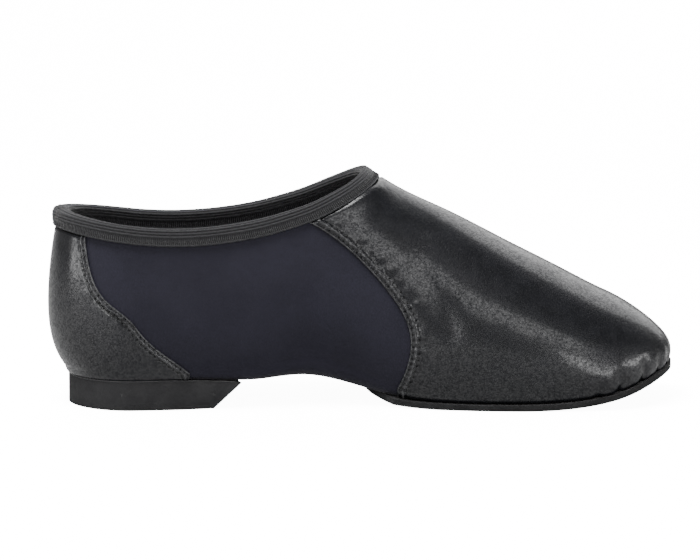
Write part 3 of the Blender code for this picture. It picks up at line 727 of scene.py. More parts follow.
def seam_line(line, side):
    """A seam as closely spaced points along the face of the upper, from the feather edge's half turn to the cuff,
    with a search tree over them."""
    way, points, cuff, radius = run_of(line, side, steps=400)
    low = -radius * math.pi / 4
    count = int((cuff - low) / SEAM_STEP)
    points = centred(points_at(np.linspace(low, cuff, count), way, points))
    return {"points": points, "tree": search_tree(points), "step": (cuff - low) / (count - 1)}


def beside(bm, seam):
    """Distance of every vertex from a seam, and the way along the seam at the nearest point."""
    found = [seam["tree"].find(vert.co) for vert in bm.verts]
    return np.array([f[2] for f in found]), np.array([f[1] for f in found]) * seam["step"]


def bell(distance, width):
    """1 at no distance, falling off smoothly over a width."""
    return np.exp(-((distance / width) ** 2))


def seam_relief(off, way, rows, puff, pucker):
    """Relief of a turned and twice-stitched leather edge, off being the distance from its edge."""
    round_off = np.clip(1 - off / EDGE_TURN, 0, 1)
    relief = -0.75 * LEATHER_THICKNESS * (1 - np.sqrt(1 - round_off**2))
    beat = np.cos(2 * math.pi * way / STITCH_PITCH)
    drift = np.sin(2 * math.pi * way / (3.7 * STITCH_PITCH)) + np.sin(2 * math.pi * way / (2.3 * STITCH_PITCH) + 1)
    for row in rows:
        relief -= GROOVE_DEPTH * bell(off - row, GROOVE_WIDTH)
    middle, spread = sum(rows) / 2, (rows[1] - rows[0]) / 2
    relief += puff * bell(off - middle, spread * 0.75) * (1 - 0.45 * beat + 0.25 * drift)
    relief += 0.5 * puff * bell(off - rows[0] / 2, 0.4 * MM) * (1 - 0.4 * beat)
    after = np.clip((off - rows[1]) / PUCKER_REACH, 0, 1)
    ripple = np.sin(math.pi * after) * np.exp(-2.5 * after)
    return relief + pucker * ripple * (drift - 0.3 * beat)


def polyline_apart(points, start, end):
    """Distance of points from a line drawn straight on the flattened plan, and the share along it."""
    flat = np.array(start) + np.linspace(0, 1, FOLD_STEPS + 1)[:, None] * (np.array(end) - np.array(start))
    run = centred(on_last(flat * (SHOE_LENGTH, 1)))
    apart = np.linalg.norm(points[:, None] - run[None], axis=2)
    return apart.min(axis=1), apart.argmin(axis=1) / FOLD_STEPS


def spread_lines(first, last, spacing):
    """Lines from the first to the last with about the given spacing."""
    return list(np.linspace(first, last, max(int(round(abs(last - first) / spacing)), 1) + 1)[:-1])


def tuck_under(bm, lines):
    """How far the top edge of a panel is pressed down where it runs in under the binding."""
    tops = [run_of(line, side) for line, side in lines]
    tree = search_tree(centred(np.array([points_at(cuff, way, points) for way, points, cuff, radius in tops])))
    apart = np.array([tree.find(vert.co)[2] for vert in bm.verts])
    rows = len(bm.verts) // len(lines)
    beyond = np.arange(rows).repeat(len(lines)) > rows - 2.5
    signed = np.where(beyond, apart, -apart)
    share = np.clip((signed + 0.5 * MM) / MM, 0, 1)
    return share * share * (3 - 2 * share) * (LEATHER_THICKNESS + FIT_GAP - TUCKED_LIFT)


def seamed_panel(lines, up, line, rows, puff, pucker):
    """A leather panel over the upper, up giving the shares of its height that its rows stand at, with the relief of
    its two stitched edges. Gives its mesh, how far each of its points is lifted off the upper, and its seam map."""
    bm = lay(pull_over(lines, lambda reach: reach["turn"] + (reach["cuff"] + TUCK - reach["turn"]) * up))
    points = np.array([vert.co for vert in bm.verts])
    lift = np.full(len(points), FIT_GAP + LEATHER_THICKNESS)
    seam_map = np.zeros((len(points), 2))
    for side in (INNER, OUTER):
        off, way = beside(bm, seam_line(line, side))
        mine = (points[:, 1] > 0) == (side == OUTER)
        lift += mine * seam_relief(off, way, rows, puff, pucker)
        seam_map[mine] = np.stack([way, off], axis=-1)[mine]
    return bm, lift, seam_map


def finish_panel(name, bm, lines, lift, seam_map, finish, node):
    """The panel swelled to its relief, its top edge pressed in under the binding, with its finish and its wall."""
    swell(bm, lift - tuck_under(bm, lines))
    map_faces(bm, seam_map)
    panel = add_piece(name, bm, (finish,), "leather", node)
    give_wall(panel, LEATHER_WALL)
    return panel


half_vamp = spread_lines(VAMP_LINE, VAMP_LINE + 0.75, 0.04) + spread_lines(VAMP_LINE + 0.75, TOE_FROM, 0.16)
half_vamp += spread_lines(TOE_FROM, TOE_LINE, 0.1)
vamp_lines = [(line, OUTER) for line in half_vamp] + [(TOE_LINE, OUTER)]
vamp_lines += [(line, INNER) for line in half_vamp[::-1]]
vamp_up = np.linspace(0, 1, VAMP_UP) ** UP_SPREAD
vamp, lift, seam_map = seamed_panel(vamp_lines, vamp_up, VAMP_LINE, VAMP_ROWS, 0.30 * MM, 0.28 * MM)
points = np.array([vert.co for vert in vamp.verts])
signed_line = np.tile([line if side == OUTER else 2 * TOE_LINE - line for line, side in vamp_lines], VAMP_UP)
wall_height = np.repeat(vamp_up, len(vamp_lines)) * VAMP_HEIGHT
for at in rows_of(FOLD_COLUMNS, FOLDS):
    apart, share = polyline_apart(points, (at["x1"], at["y1"]), (at["x2"], at["y2"]))
    lift += at["height"] * MM * bell(apart, at["width"] * MM) * np.sin(math.pi * (0.15 + 0.7 * share))
for side, pleats in ((INNER, INNER_PLEATS), (OUTER, OUTER_PLEATS)):
    for at in rows_of(PLEAT_COLUMNS, pleats):
        centre = at["line"] + at["lean"] * wall_height / (10 * MM)
        centre = centre if side == OUTER else 2 * TOE_LINE - centre
        fade = np.clip(1 - wall_height / (at["reach"] * MM), 0, 1)
        sharp = at["width"] * (0.7 + 0.8 * (1 - fade))
        lift -= at["depth"] * MM * fade**0.8 * bell(signed_line - centre, sharp)
# The leather stands fuller low round the toe, up to about 8 lines from the tip, and lies closer at the tip itself.
from_tip = np.abs(signed_line - TOE_LINE)
fullness = np.clip((8.8 - from_tip) / 2, 0, 1) * np.clip((from_tip - 0.5) / 3, 0.2, 1)
lift += TOE_FULLNESS * fullness * bell(wall_height - 4 * MM, 5 * MM)
for at in rows_of(PAD_COLUMNS, TOE_PADS):
    for centre in (at["line"], 2 * TOE_LINE - at["line"]):
        shape = bell(signed_line - centre, at["half_lines"]) * bell(wall_height - at["up"] * MM, at["half"] * MM)
        lift += at["height"] * MM * shape
vamp_leather = finish_panel("vamp_leather", vamp, vamp_lines, lift, seam_map, VAMP_LEATHER, "vamp")

# Heel counter: a second leather panel stitched over the back of the quarters, its slanting front edges turned under
# and held by two close rows of stitching.
COUNTER_ROWS = (0.95 * MM, 2.75 * MM)
COUNTER_UP = 90

half_counter = spread_lines(0, COUNTER_LINE - 1.0, 0.16) + spread_lines(COUNTER_LINE - 1.0, COUNTER_LINE, 0.05)
half_counter.append(COUNTER_LINE)
counter_lines = [(line, INNER) for line in half_counter[:0:-1]] + [(line, OUTER) for line in half_counter]
counter, lift, seam_map = seamed_panel(
    counter_lines, np.linspace(0, 1, COUNTER_UP), COUNTER_LINE, COUNTER_ROWS, 0.22 * MM, 0.06 * MM,
)
COUNTER_LEATHER = leather_finish("counter_glossy_leather", 1800.0, 0.065 * MM, COUNTER_ROWS, 0.35)
counter_leather = finish_panel(
    "counter_leather", counter, counter_lines, lift, seam_map, COUNTER_LEATHER, "heel_counter",
)

# Stitching: black bonded thread in two rows along each leather edge, one loop for each stitch, lying in the groove
# that it pulls down into the leather.
THREAD = 0.42 * MM
STITCH_FROM, STITCH_TO = 0.14, 0.86


def thread_finish():
    """Twisted black thread, its strands painted lighter than the gaps between them, as painted shade in the gaps."""
    made, tree, shader, where = plain_finish("black_thread", (0.03, 0.03, 0.032), 0.5, Sheen_Weight=0.3)
    knit = use_group(tree, KNIT, where.outputs["Object"], Loops=5200.0)
    # Painted shade: the colour is darker in the gaps between the strands.
    paint(tree, shader, knit.outputs["Loop"], (0.016, 0.016, 0.018), (0.06, 0.06, 0.064))
    emboss(tree, shader, knit.outputs["Height"], 0.05 * MM)
    return made


BLACK_THREAD = thread_finish()

loop_bm = bmesh.new()
lengthwise = Matrix.Rotation(math.pi / 2, 4, "Y")
bmesh.ops.create_uvsphere(loop_bm, u_segments=6, v_segments=5, radius=1, matrix=lengthwise)
THREAD_LOOP = bpy.data.meshes.new("thread_loop")
loop_bm.to_mesh(THREAD_LOOP)
loop_bm.free()


def sew(bm, start, end, normal, thickness):
    """One stitch between two points, standing a little out of the surface."""
    along = (end - start).normalized()
    normal = (normal - along * normal.dot(along)).normalized()
    turn = Matrix((along, normal.cross(along), normal)).transposed().to_4x4()
    turn.translation = (start + end) / 2
    size = Matrix.Diagonal(((end - start).length / 2, thickness / 2, thickness / 2, 1))
    loop = THREAD_LOOP.copy()
    loop.transform(turn @ size)
    bm.from_mesh(loop)
    bpy.data.meshes.remove(loop)


def sew_row(bm, panel, line, row, towards):
    """A row of stitches on both sides, at a distance from a panel's edge, on the panel's own finished face."""
    face_points = np.array([vert.co for vert in panel.verts])
    normals = [vert.normal for vert in panel.verts]
    tree = search_tree(face_points)
    for side in (INNER, OUTER):
        seam = seam_line(line, side)
        points, last = seam["points"], len(seam["points"]) - 1
        for number in range(int(len(points) * seam["step"] / STITCH_PITCH)):
            ends = []
            for share in (STITCH_FROM, STITCH_TO):
                index = min(int((number + share) * STITCH_PITCH / seam["step"]), last - 1)
                tangent = Vector(points[min(index + 6, last)] - points[max(index - 6, 0)]).normalized()
                normal = normals[tree.find(points[index])[1]]
                place = Vector(points[index]) + tangent.cross(normal) * side * towards * row
                nearest = Vector(face_points[tree.find(place)[1]])
                ends.append(place + normal * (nearest - place).dot(normal))
            sew(bm, *ends, normal, THREAD)


for name, panel, line, rows, towards in (
    ("vamp_stitching", vamp_leather, VAMP_LINE, VAMP_ROWS, -1),
    ("counter_stitching", counter_leather, COUNTER_LINE, COUNTER_ROWS, 1),
):
    face, thread = bmesh.new(), bmesh.new()
    face.from_mesh(panel.data)
    face.normal_update()
    for row in rows:
        sew_row(thread, face, line, row, towards)
    face.free()
    add_piece(name, thread, (BLACK_THREAD,), "leather")

# Collar binding: a band of ribbed elastic folded over the topline, its two cut ends lapped and sewn at the back, where
# its tight bend bunches it up. A flat zigzag stitch holds both edges of the fold through the neoprene.
BINDING_THICKNESS = 1.1 * MM
BAND_OUT = FIT_GAP + BINDING_THICKNESS
RIB_PITCH, RIB_RELIEF = 1.15 * MM, 0.30 * MM
STITCH_BAND = (0.5 * MM, 3.1 * MM)
TICK, CROSS_THREAD = 0.75 * MM, 0.55 * MM
BAND_DEPTH, BAND_EASE = 0.10 * MM, 0.3 * MM
LIP_DROP, LIP_REACH = 0.3 * MM, 0.5 * MM
LAP_HALF, LAP_RISE, LAP_SEAM = 4.2 * MM, 0.35 * MM, 0.8 * MM
LAP_PITCH, LAP_STITCH, LAP_THREAD = 1.2 * MM, 0.9 * MM, 0.35 * MM
ZIGZAG_SINK, ZIGZAG_THREAD = 0.06 * MM, 0.3 * MM
BACK_FULLNESS, BACK_REACH = 1.6 * MM, 15 * MM
BAND_COLUMNS, BAND_STEPS = 440, 12


def last_slopes(x_flat, y_flat):
    """How the face of the upper runs, along and across the flattened plan."""
    step_x, step_y = 0.1 * MM, 0.002
    along = last_surface(x_flat + step_x, y_flat) - last_surface(x_flat - step_x, y_flat)
    across = last_surface(x_flat, y_flat + step_y) - last_surface(x_flat, y_flat - step_y)
    return along / (2 * step_x), across / (2 * step_y)


def unit(vectors):
    """The vectors with a length of 1."""
    return vectors / np.linalg.norm(vectors, axis=-1, keepdims=True)


def collar_columns():
    """Columns square to the topline, from the binding's lower edge up to it: places, the way the face looks there,
    and the way along the topline. They run from the back, round the outer side and the throat, and home."""
    flat = np.vstack([TOPLINE_FLAT, TOPLINE_FLAT[-2::-1] * (1, -1)])
    way = way_along(on_last(flat))
    even = np.linspace(0, way[-1], BAND_COLUMNS + 1)
    flat = points_at(even, way, flat)
    points = on_last(flat)
    ring_points = np.vstack([points[-2], points, points[1]])
    forward = unit(ring_points[2:] - ring_points[:-2])
    along, across = last_slopes(flat[:, 0], flat[:, 1])
    down = unit(np.cross(np.cross(along, across), forward))
    a, b, c = (along * along).sum(1), (along * across).sum(1), (across * across).sum(1)
    d, e = (along * down).sum(1), (across * down).sum(1)
    share = a * c - b * b
    pull = np.stack([(d * c - e * b) / share, (e * a - d * b) / share], axis=-1)
    places = []
    for start, way_down in zip(flat, pull):
        trial = start + np.linspace(0, 1.4 * CUFF, 24)[:, None] * way_down
        places.append(points_at(np.linspace(CUFF, 0, BAND_STEPS + 1), way_along(on_last(trial)), trial))
    places = np.array(places)
    facing = unit(np.cross(*last_slopes(places[..., 0], places[..., 1])))
    return centred(on_last(places)), facing, even


binding_run, facing, along_band = collar_columns()


def band_profile():
    """The fold's outer contour: way up from the lower edge, and distance out from the face of the upper, with the
    length run along the contour."""
    half = UPPER_WALL / 2 + BAND_OUT
    up_out = np.linspace(FIT_GAP, CUFF, 36)
    turn = np.linspace(0, math.pi, 26)[1:-1]
    height = np.concatenate([up_out, CUFF + BAND_OUT * np.sin(turn), up_out[::-1]])
    flat = np.ones_like(up_out)
    out = np.concatenate([BAND_OUT * flat, -UPPER_WALL / 2 + half * np.cos(turn), (-UPPER_WALL - BAND_OUT) * flat])
    return height, out, way_along(np.stack([height, out], axis=-1))


height, out, run = band_profile()
middle = run[-1] / 2
from_edge = middle - np.abs(run - middle)
in_band = np.clip((from_edge - STITCH_BAND[0]) / BAND_EASE, 0, 1)
in_band = in_band * np.clip((STITCH_BAND[1] - from_edge) / BAND_EASE, 0, 1)
ribs = np.abs(np.sin(math.pi * (from_edge - STITCH_BAND[1]) / RIB_PITCH)) ** 0.6
lip = np.clip(1 - from_edge / LIP_REACH, 0, 1)
relief = RIB_RELIEF * (ribs - 0.5) * (1 - in_band) - BAND_DEPTH * in_band - LIP_DROP * lip**2
step = np.gradient(np.stack([height, out]), axis=1)
square = np.stack([-step[1], step[0]]) / np.hypot(*step)
height, out = height + square[0] * relief, out + square[1] * relief


def back_fullness(from_back, up):
    """The elastic bunches up in its tight bend at the back: how far it stands out there, by its height."""
    by_height = np.interp(up / CUFF, (0, 0.4, 0.9, 1.5), (0.1, 0.8, 1.0, 0.5))
    return BACK_FULLNESS * bell(from_back, BACK_REACH) * by_height


places, uv = [], []
for rows_up, ways_out, along in zip(binding_run, facing, along_band):
    from_back = min(along, along_band[-1] - along)
    lap = LAP_RISE * min(max((LAP_HALF - from_back) / (0.8 * MM), 0), 1)
    full = back_fullness(from_back, height)
    rise = unit(rows_up[-1] - rows_up[-2])
    up = height + square[0] * (lap + 0.5 * full)
    off = out + square[1] * lap + np.clip(square[1], 0, 1) * full
    share, steps = np.clip(up / CUFF, 0, 1) * BAND_STEPS, np.arange(BAND_STEPS + 1)
    at, normal = points_at(share, steps, rows_up), points_at(share, steps, ways_out)
    places.append(at + np.maximum(up - CUFF, 0)[:, None] * rise + off[:, None] * normal)
    uv.append(np.stack([np.full(len(run), along), run], axis=-1))
binding = lay(np.array(places).transpose(1, 0, 2), np.array(uv).transpose(1, 0, 2))
bmesh.ops.remove_doubles(binding, verts=binding.verts, dist=0.005 * MM)


def elastic_finish():
    """Ribbed elastic: ribs painted light with painted shade in the valleys between them, fine cross threads over them,
    a stitched band where the zigzag pulls the ribs flat, and a painted highlight along the folded lower edges. The map
    runs along the band and round its fold."""
    made, tree, shader, where = plain_finish(
        "ribbed_elastic", (0.03, 0.03, 0.032), 0.8, Sheen_Weight=0.4, Sheen_Roughness=0.4,
    )
    along, round_fold = split_place(tree, where.outputs["UV"])[:2]
    edge = maths(tree, "SUBTRACT", middle, maths(tree, "ABSOLUTE", maths(tree, "SUBTRACT", round_fold, middle)))
    phase = maths(tree, "MULTIPLY", maths(tree, "SUBTRACT", edge, STITCH_BAND[1]), math.pi / RIB_PITCH)
    rib = maths(tree, "ABSOLUTE", maths(tree, "SINE", phase))
    above = maths(tree, "GREATER_THAN", edge, STITCH_BAND[1])
    tick = maths(tree, "SINE", maths(tree, "MULTIPLY", along, 2 * math.pi / TICK))
    tick = maths(tree, "MULTIPLY_ADD", tick, 0.5, 0.5)
    band = maths(tree, "GREATER_THAN", edge, STITCH_BAND[0])
    band = maths(tree, "MULTIPLY", band, maths(tree, "SUBTRACT", 1.0, above))
    # The colour follows the relief: ribs painted light and their valleys dark as painted shade, light ticks in the
    # stitched band, and a painted highlight on the folded lower edges.
    crest = maths(tree, "MULTIPLY", rib, above)
    crest = maths(tree, "MULTIPLY_ADD", maths(tree, "MULTIPLY", tick, band), 0.85, crest)
    crest = maths(tree, "ADD", crest, maths(tree, "LESS_THAN", edge, STITCH_BAND[0]))
    cross = maths(tree, "SINE", maths(tree, "MULTIPLY", along, 2 * math.pi / CROSS_THREAD))
    knit = use_group(tree, KNIT, where.outputs["Object"], Loops=2600.0)
    painted_light_and_shade = maths(tree, "MULTIPLY", crest, maths(tree, "MULTIPLY_ADD", knit.outputs["Loop"], 0.6, 0.45))
    paint(tree, shader, painted_light_and_shade, (0.008, 0.008, 0.009), (0.078, 0.078, 0.085))
    mixed = maths(tree, "MULTIPLY_ADD", cross, 0.3, knit.outputs["Height"])
    emboss(tree, shader, maths(tree, "MULTIPLY_ADD", crest, 1.2, mixed), 0.10 * MM)
    return made


ELASTIC = elastic_finish()
collar_elastic = add_piece("collar_elastic", binding, (ELASTIC,), "elastic", "collar_binding")
give_wall(collar_elastic, BINDING_THICKNESS * 0.85)


def on_band(along, up, face_out):
    """Point of the binding's face, by the way along the topline, up from the lower edge and out from the upper."""
    along = along % along_band[-1]
    face_out += back_fullness(min(along, along_band[-1] - along), up) * (face_out > 0)
    index = np.interp(along, along_band, np.arange(len(along_band)))
    low, part = int(index), index - int(index)
    row = int(up / CUFF * BAND_STEPS)
    over = up / CUFF * BAND_STEPS - row
    corners = []
    for i in (low, min(low + 1, len(along_band) - 1)):
        place = binding_run[i][row] + over * (binding_run[i][row + 1] - binding_run[i][row])
        corners.append(place + face_out * facing[i][row])
    return Vector(corners[0] + part * (corners[1] - corners[0])), Vector(facing[low][row])


zigzag = bmesh.new()
for face_out, sign in ((BAND_OUT - ZIGZAG_SINK, 1), (-UPPER_WALL - BAND_OUT + ZIGZAG_SINK, -1)):
    for number in range(int(along_band[-1] / TICK)):
        start, normal = on_band(number * TICK, STITCH_BAND[0] + 0.2 * MM, face_out)
        end, normal = on_band((number + 0.5) * TICK, STITCH_BAND[1] - 0.3 * MM, face_out)
        sew(zigzag, start, end, normal * sign, ZIGZAG_THREAD)
    for along in (LAP_SEAM - LAP_HALF, LAP_HALF - LAP_SEAM):
        for up in np.arange(0.5 * MM, CUFF - 1.3 * MM, LAP_PITCH):
            start, normal = on_band(along, up, face_out + sign * LAP_RISE)
            end, normal = on_band(along, up + LAP_STITCH, face_out + sign * LAP_RISE)
            sew(zigzag, start, end, normal * sign, LAP_THREAD)
add_piece("binding_zigzag", zigzag, (BLACK_THREAD,), "elastic")

# Insole: thin foam under a black woven cloth, cut to the last's bottom and laid loose in the shoe, where it covers the
# lasted margin of the upper.
INSOLE_THICKNESS = 3.0 * MM
INSOLE_GAP = 0.7 * MM


def strip_grid(lines, inset_of, lift, across):
    """Points over the bottom of the last, each row from the outer to the inner edge."""
    grid = []
    for line in lines:
        ends = []
        for side in (OUTER, INNER):
            point, inward = rim_point(line, side), plan_inward(line, side)
            ends.append((point + inward * inset_of(point[0]))[:2])
        share = np.linspace(0, 1, across)[:, None]
        flat = ends[0] + (ends[1] - ends[0]) * share
        grid.append(np.column_stack([flat, underside(flat[:, 0], lift)]))
    return centred(np.array(grid))


def insole_inset(x):
    """How far the insole's edge stands in from the feather edge, clear of the upper's inner face."""
    radius, lift = float(feather_round(x)), UPPER_WALL + INSOLE_GAP + INSOLE_THICKNESS * 0.5
    reach = max(radius - UPPER_WALL, 0) ** 2 - max(radius - lift, 0) ** 2
    inset = radius - math.sqrt(max(reach, 0)) if radius > lift else UPPER_WALL
    return inset + INSOLE_GAP + 0.4 * MM


def face_up(bm):
    """Turn a sheet over where its faces look down."""
    if sum(face.normal.z for face in bm.faces) < 0:
        bmesh.ops.reverse_faces(bm, faces=bm.faces)


insole_top = UPPER_WALL + INSOLE_GAP + INSOLE_THICKNESS - 0.3 * MM
insole_bm = lay(strip_grid(np.linspace(0.25, TOE_LINE - 0.2, 120), insole_inset, insole_top, 24))
bmesh.ops.recalc_face_normals(insole_bm, faces=insole_bm.faces)
face_up(insole_bm)
INSOLE_CLOTH = cloth_finish(
    "insole_cloth", (0.012, 0.012, 0.013), (0.026, 0.026, 0.028), 0.9, 1500.0, 0.10 * MM, Sheen_Weight=0.3,
)
insole_cloth = add_piece("insole_cloth", insole_bm, (INSOLE_CLOTH,), "insole_lining", "insole")
give_wall(insole_cloth, INSOLE_THICKNESS - 0.4 * MM)
rounding = insole_cloth.modifiers.new("rounding", "BEVEL")
rounding.width, rounding.segments, rounding.limit_method = 0.7 * MM, 3, "ANGLE"

# Forefoot sole: thin split leather, buffed to a nap, cemented under the forepart from the ball to the toe. Its edge
# stands a little proud of the vamp.
SOLE_PROUD = 0.8 * MM
SOLE_BACK, SOLE_BOW = 133.5 * MM, 9 * MM
SOLE_ACROSS = 25


def sole_inset(x):
    """The sole's edge stands a little proud of the leather, less so at the tip of the toe."""
    tip = min(max((SHOE_LENGTH - 5 * MM - x) / (14 * MM), 0.15), 1)
    return -(FIT_GAP + LEATHER_THICKNESS + SOLE_PROUD * tip)


def scuff_group():
    """Scuffs and dust: short pale rubs in patches."""
    group = bpy.data.node_groups.new("scuffs", "ShaderNodeTree")
    start = group_input(group, Place=None, Size=420.0, Amount=0.7)
    mark = patches(group, start.outputs["Place"], start.outputs["Size"], detail=3.0, rough=0.7, low=0.60, high=0.74)
    region = patches(group, start.outputs["Place"], 38.0, low=0.48, high=0.66)
    share = maths(group, "MULTIPLY", maths(group, "MULTIPLY", mark, region), start.outputs["Amount"])
    group_output(group, Share=share)
    return group


SCUFFS = scuff_group()


def tread_group():
    """Fine moulded tread: rows of small lozenges on the faces that look down."""
    group = bpy.data.node_groups.new("fine_tread", "ShaderNodeTree")
    start = group_input(group, Place=None, Facing=None, Pitch=2.2 * MM)
    place, look = (split_place(group, start.outputs[name]) for name in ("Place", "Facing"))
    waves = []
    for operation in ("ADD", "SUBTRACT"):
        slant = maths(group, operation, place[0], place[1])
        turn = maths(group, "MULTIPLY", maths(group, "DIVIDE", slant, start.outputs["Pitch"]), 2 * math.pi)
        waves.append(maths(group, "ABSOLUTE", maths(group, "SINE", turn)))
    lozenge = maths(group, "SMOOTH_MIN", waves[0], waves[1], 0.2)
    down = maths(group, "LESS_THAN", look[2], -0.9)
    group_output(group, Height=maths(group, "MULTIPLY", lozenge, down))
    return group


TREAD = tread_group()


def worn_finish(name, dark, light, rub, roughness, grain, relief, tread=0.0, **constants):
    """Suede or rubber: two shades of its grain with scuffs over them, and a tread underneath where it has one."""
    made, tree, shader, where = plain_finish(name, dark, roughness, **constants)
    knit = use_group(tree, KNIT, where.outputs["Object"], Loops=grain, Uneven=1.0)
    shade = blend_colours(tree, patches(tree, where.outputs["Object"], 120.0, detail=4.0), dark, light)
    scuff = use_group(tree, SCUFFS, where.outputs["Object"])
    paint(tree, shader, scuff.outputs["Share"], shade, rub)
    height = maths(tree, "MULTIPLY", knit.outputs["Height"], relief / MM)
    if tread:
        moulded = use_group(tree, TREAD, where.outputs["Object"])
        tree.links.new(where.outputs["Normal"], moulded.inputs["Facing"])
        height = maths(tree, "MULTIPLY_ADD", moulded.outputs["Height"], tread / MM, height)
    emboss(tree, shader, height, MM)
    return made


def bottom_piece(places, floor_of, rounding):
    """A piece of the bottom: its top face laid out, then drawn down to its underside and its corners eased."""
    bm = lay(places)
    face_up(bm)
    drawn = bmesh.ops.extrude_face_region(bm, geom=bm.faces[:])
    for vert in drawn["geom"]:
        if isinstance(vert, bmesh.types.BMVert):
            vert.co = floor_of(vert.co)
    bmesh.ops.recalc_face_normals(bm, faces=bm.faces)
    bm.normal_update()
    corners = [edge for edge in bm.edges if len(edge.link_faces) == 2 and edge.calc_face_angle(0) > math.radians(45)]
    bmesh.ops.bevel(
        bm, geom=corners, offset=rounding, segments=3, profile=0.5, affect="EDGES", material=-1, clamp_overlap=True,
    )
    return bm


sole_rows = strip_grid(np.linspace(VAMP_LINE, TOE_LINE, 140), sole_inset, -FIT_GAP, SOLE_ACROSS)
sole_rows = sole_rows[sole_rows[:, :, 0].min(axis=1) + SHOE_LENGTH / 2 > SOLE_BACK + 3 * MM]
first = sole_rows[0]
share = np.linspace(-1, 1, SOLE_ACROSS)
rear = first.copy()
rear[:, 0] = SOLE_BACK - SHOE_LENGTH / 2 - SOLE_BOW * (1 - share**2)
rear[:, 1] = np.interp(share, (-1, 1), (first[0, 1] - 0.3 * MM, first[-1, 1] + 0.6 * MM))
lead = [rear + (first - rear) * part for part in np.linspace(0, 1, 14)[:-1]]
sole_rows = np.concatenate([np.array(lead), sole_rows])
sole_rows[..., 2] = underside(sole_rows[..., 0] + SHOE_LENGTH / 2, -FIT_GAP)


def sole_floor(co):
    """The sole's underside, never below the floor."""
    low = float(underside(co.x + SHOE_LENGTH / 2, -FIT_GAP - SOLE_THICKNESS))
    return Vector((co.x, co.y, max(low, 0.0)))


SPLIT_SUEDE = worn_finish(
    "split_suede", (0.030, 0.030, 0.032), (0.048, 0.048, 0.050), (0.24, 0.24, 0.24), 0.9, 2100.0, 0.12 * MM,
    Sheen_Weight=0.2, Specular_IOR_Level=0.3,
)
suede_sole = bottom_piece(sole_rows, sole_floor, 0.45 * MM)
add_piece("suede_sole", suede_sole, (SPLIT_SUEDE,), "sole_suede", "forefoot_sole")

# Heel: a low block of moulded rubber, cemented under the counter and cut back slanting at its front. A thin wavering
# line of dried cement shows along its top.
HEEL_TREAD_LENGTH, BREAST_BOW = 55.7 * MM, 2.5 * MM
HEEL_ACROSS = 21
heel_rows = strip_grid(np.linspace(0, COUNTER_LINE + 5, 110), lambda x: HEEL_INSET, -FIT_GAP, HEEL_ACROSS)
heel_back = heel_rows[0, 0, 0]
breast = heel_back + HEEL_SEAT_LENGTH
heel_rows = heel_rows[heel_rows[:, :, 0].max(axis=1) < breast - 2 * MM]
front = heel_rows[-1].copy()
front[:, 0] = breast - BREAST_BOW * (1 - np.linspace(-1, 1, HEEL_ACROSS) ** 2)
heel_rows = np.concatenate([heel_rows, front[None]])
heel_rows[..., 2] = underside(heel_rows[..., 0] + SHOE_LENGTH / 2, -FIT_GAP)


def heel_floor(co):
    """The heel's tread, pulled back from its seat more and more towards the slanting front."""
    share = (co.x - heel_back) / HEEL_SEAT_LENGTH
    return Vector((co.x - (HEEL_SEAT_LENGTH - HEEL_TREAD_LENGTH) * share**3, co.y, 0.0))


HEEL_RUBBER = worn_finish(
    "heel_rubber", (0.031, 0.031, 0.034), (0.047, 0.047, 0.050), (0.16, 0.16, 0.16), 0.75, 900.0, 0.05 * MM,
    tread=0.5 * MM,
)
rubber_heel = bottom_piece(heel_rows, heel_floor, 0.4 * MM)
add_piece("rubber_heel", rubber_heel, (HEEL_RUBBER,), "heel_rubber", "heel")

# Height and bulge of the bead's four edges, in millimetres.
BEAD_SECTION = ((-0.42, 0.0), (-0.15, 0.14), (0.15, 0.14), (0.42, 0.0))
cement_bead = []
cement_lines = [(line, INNER) for line in np.linspace(COUNTER_LINE + 4, 0, 150)]
cement_lines += [(line, OUTER) for line in np.linspace(0, COUNTER_LINE + 4, 150)[1:]]
for number, (line, side) in enumerate(cement_lines):
    point, inward = rim_point(line, side), plan_inward(line, side)
    if point[0] - SHOE_LENGTH / 2 < breast - 1.5 * MM:
        waver = noise.noise(Vector((number * 0.09, side, 0.3)))
        column = []
        for rise, outward in BEAD_SECTION:
            place = point + inward * (HEEL_INSET - outward * MM * (1 + waver))
            place[2] = underside(place[0], -FIT_GAP / 2) + rise * MM * (0.75 + 0.6 * waver) + 0.12 * MM * waver
            column.append(place)
        cement_bead.append(column)
cement_bead = centred(np.array(cement_bead).transpose(1, 0, 2))
CEMENT = cloth_finish("dried_cement", (0.03, 0.03, 0.032), (0.15, 0.15, 0.155), 0.5, 900.0, 0.05 * MM)
cement_line = add_piece("heel_cement_line", lay(cement_bead), (CEMENT,), "heel_rubber")
give_wall(cement_line, 0.4 * MM)

# Studio: a pale floor that the camera sees almost white, large soft lights and the camera at the photograph's angle.
# Other rays meet the floor as a mid grey, so that it doesn't wash out the black shoe, and from below it is clear.
FLOOR_SEEN, FLOOR_LIT, FLOOR_GREY, FLOOR_GLOSS, SKY_LIT = 12, 4, 0.20, 0.70, 0.16
floor_bm = bmesh.new()
bmesh.ops.create_grid(floor_bm, x_segments=1, y_segments=1, size=8)
floor_mesh = bpy.data.meshes.new("floor")
floor_bm.to_mesh(floor_mesh)
floor_bm.free()
floor = bpy.data.objects.new("floor", floor_mesh)
bpy.context.scene.collection.objects.link(floor)


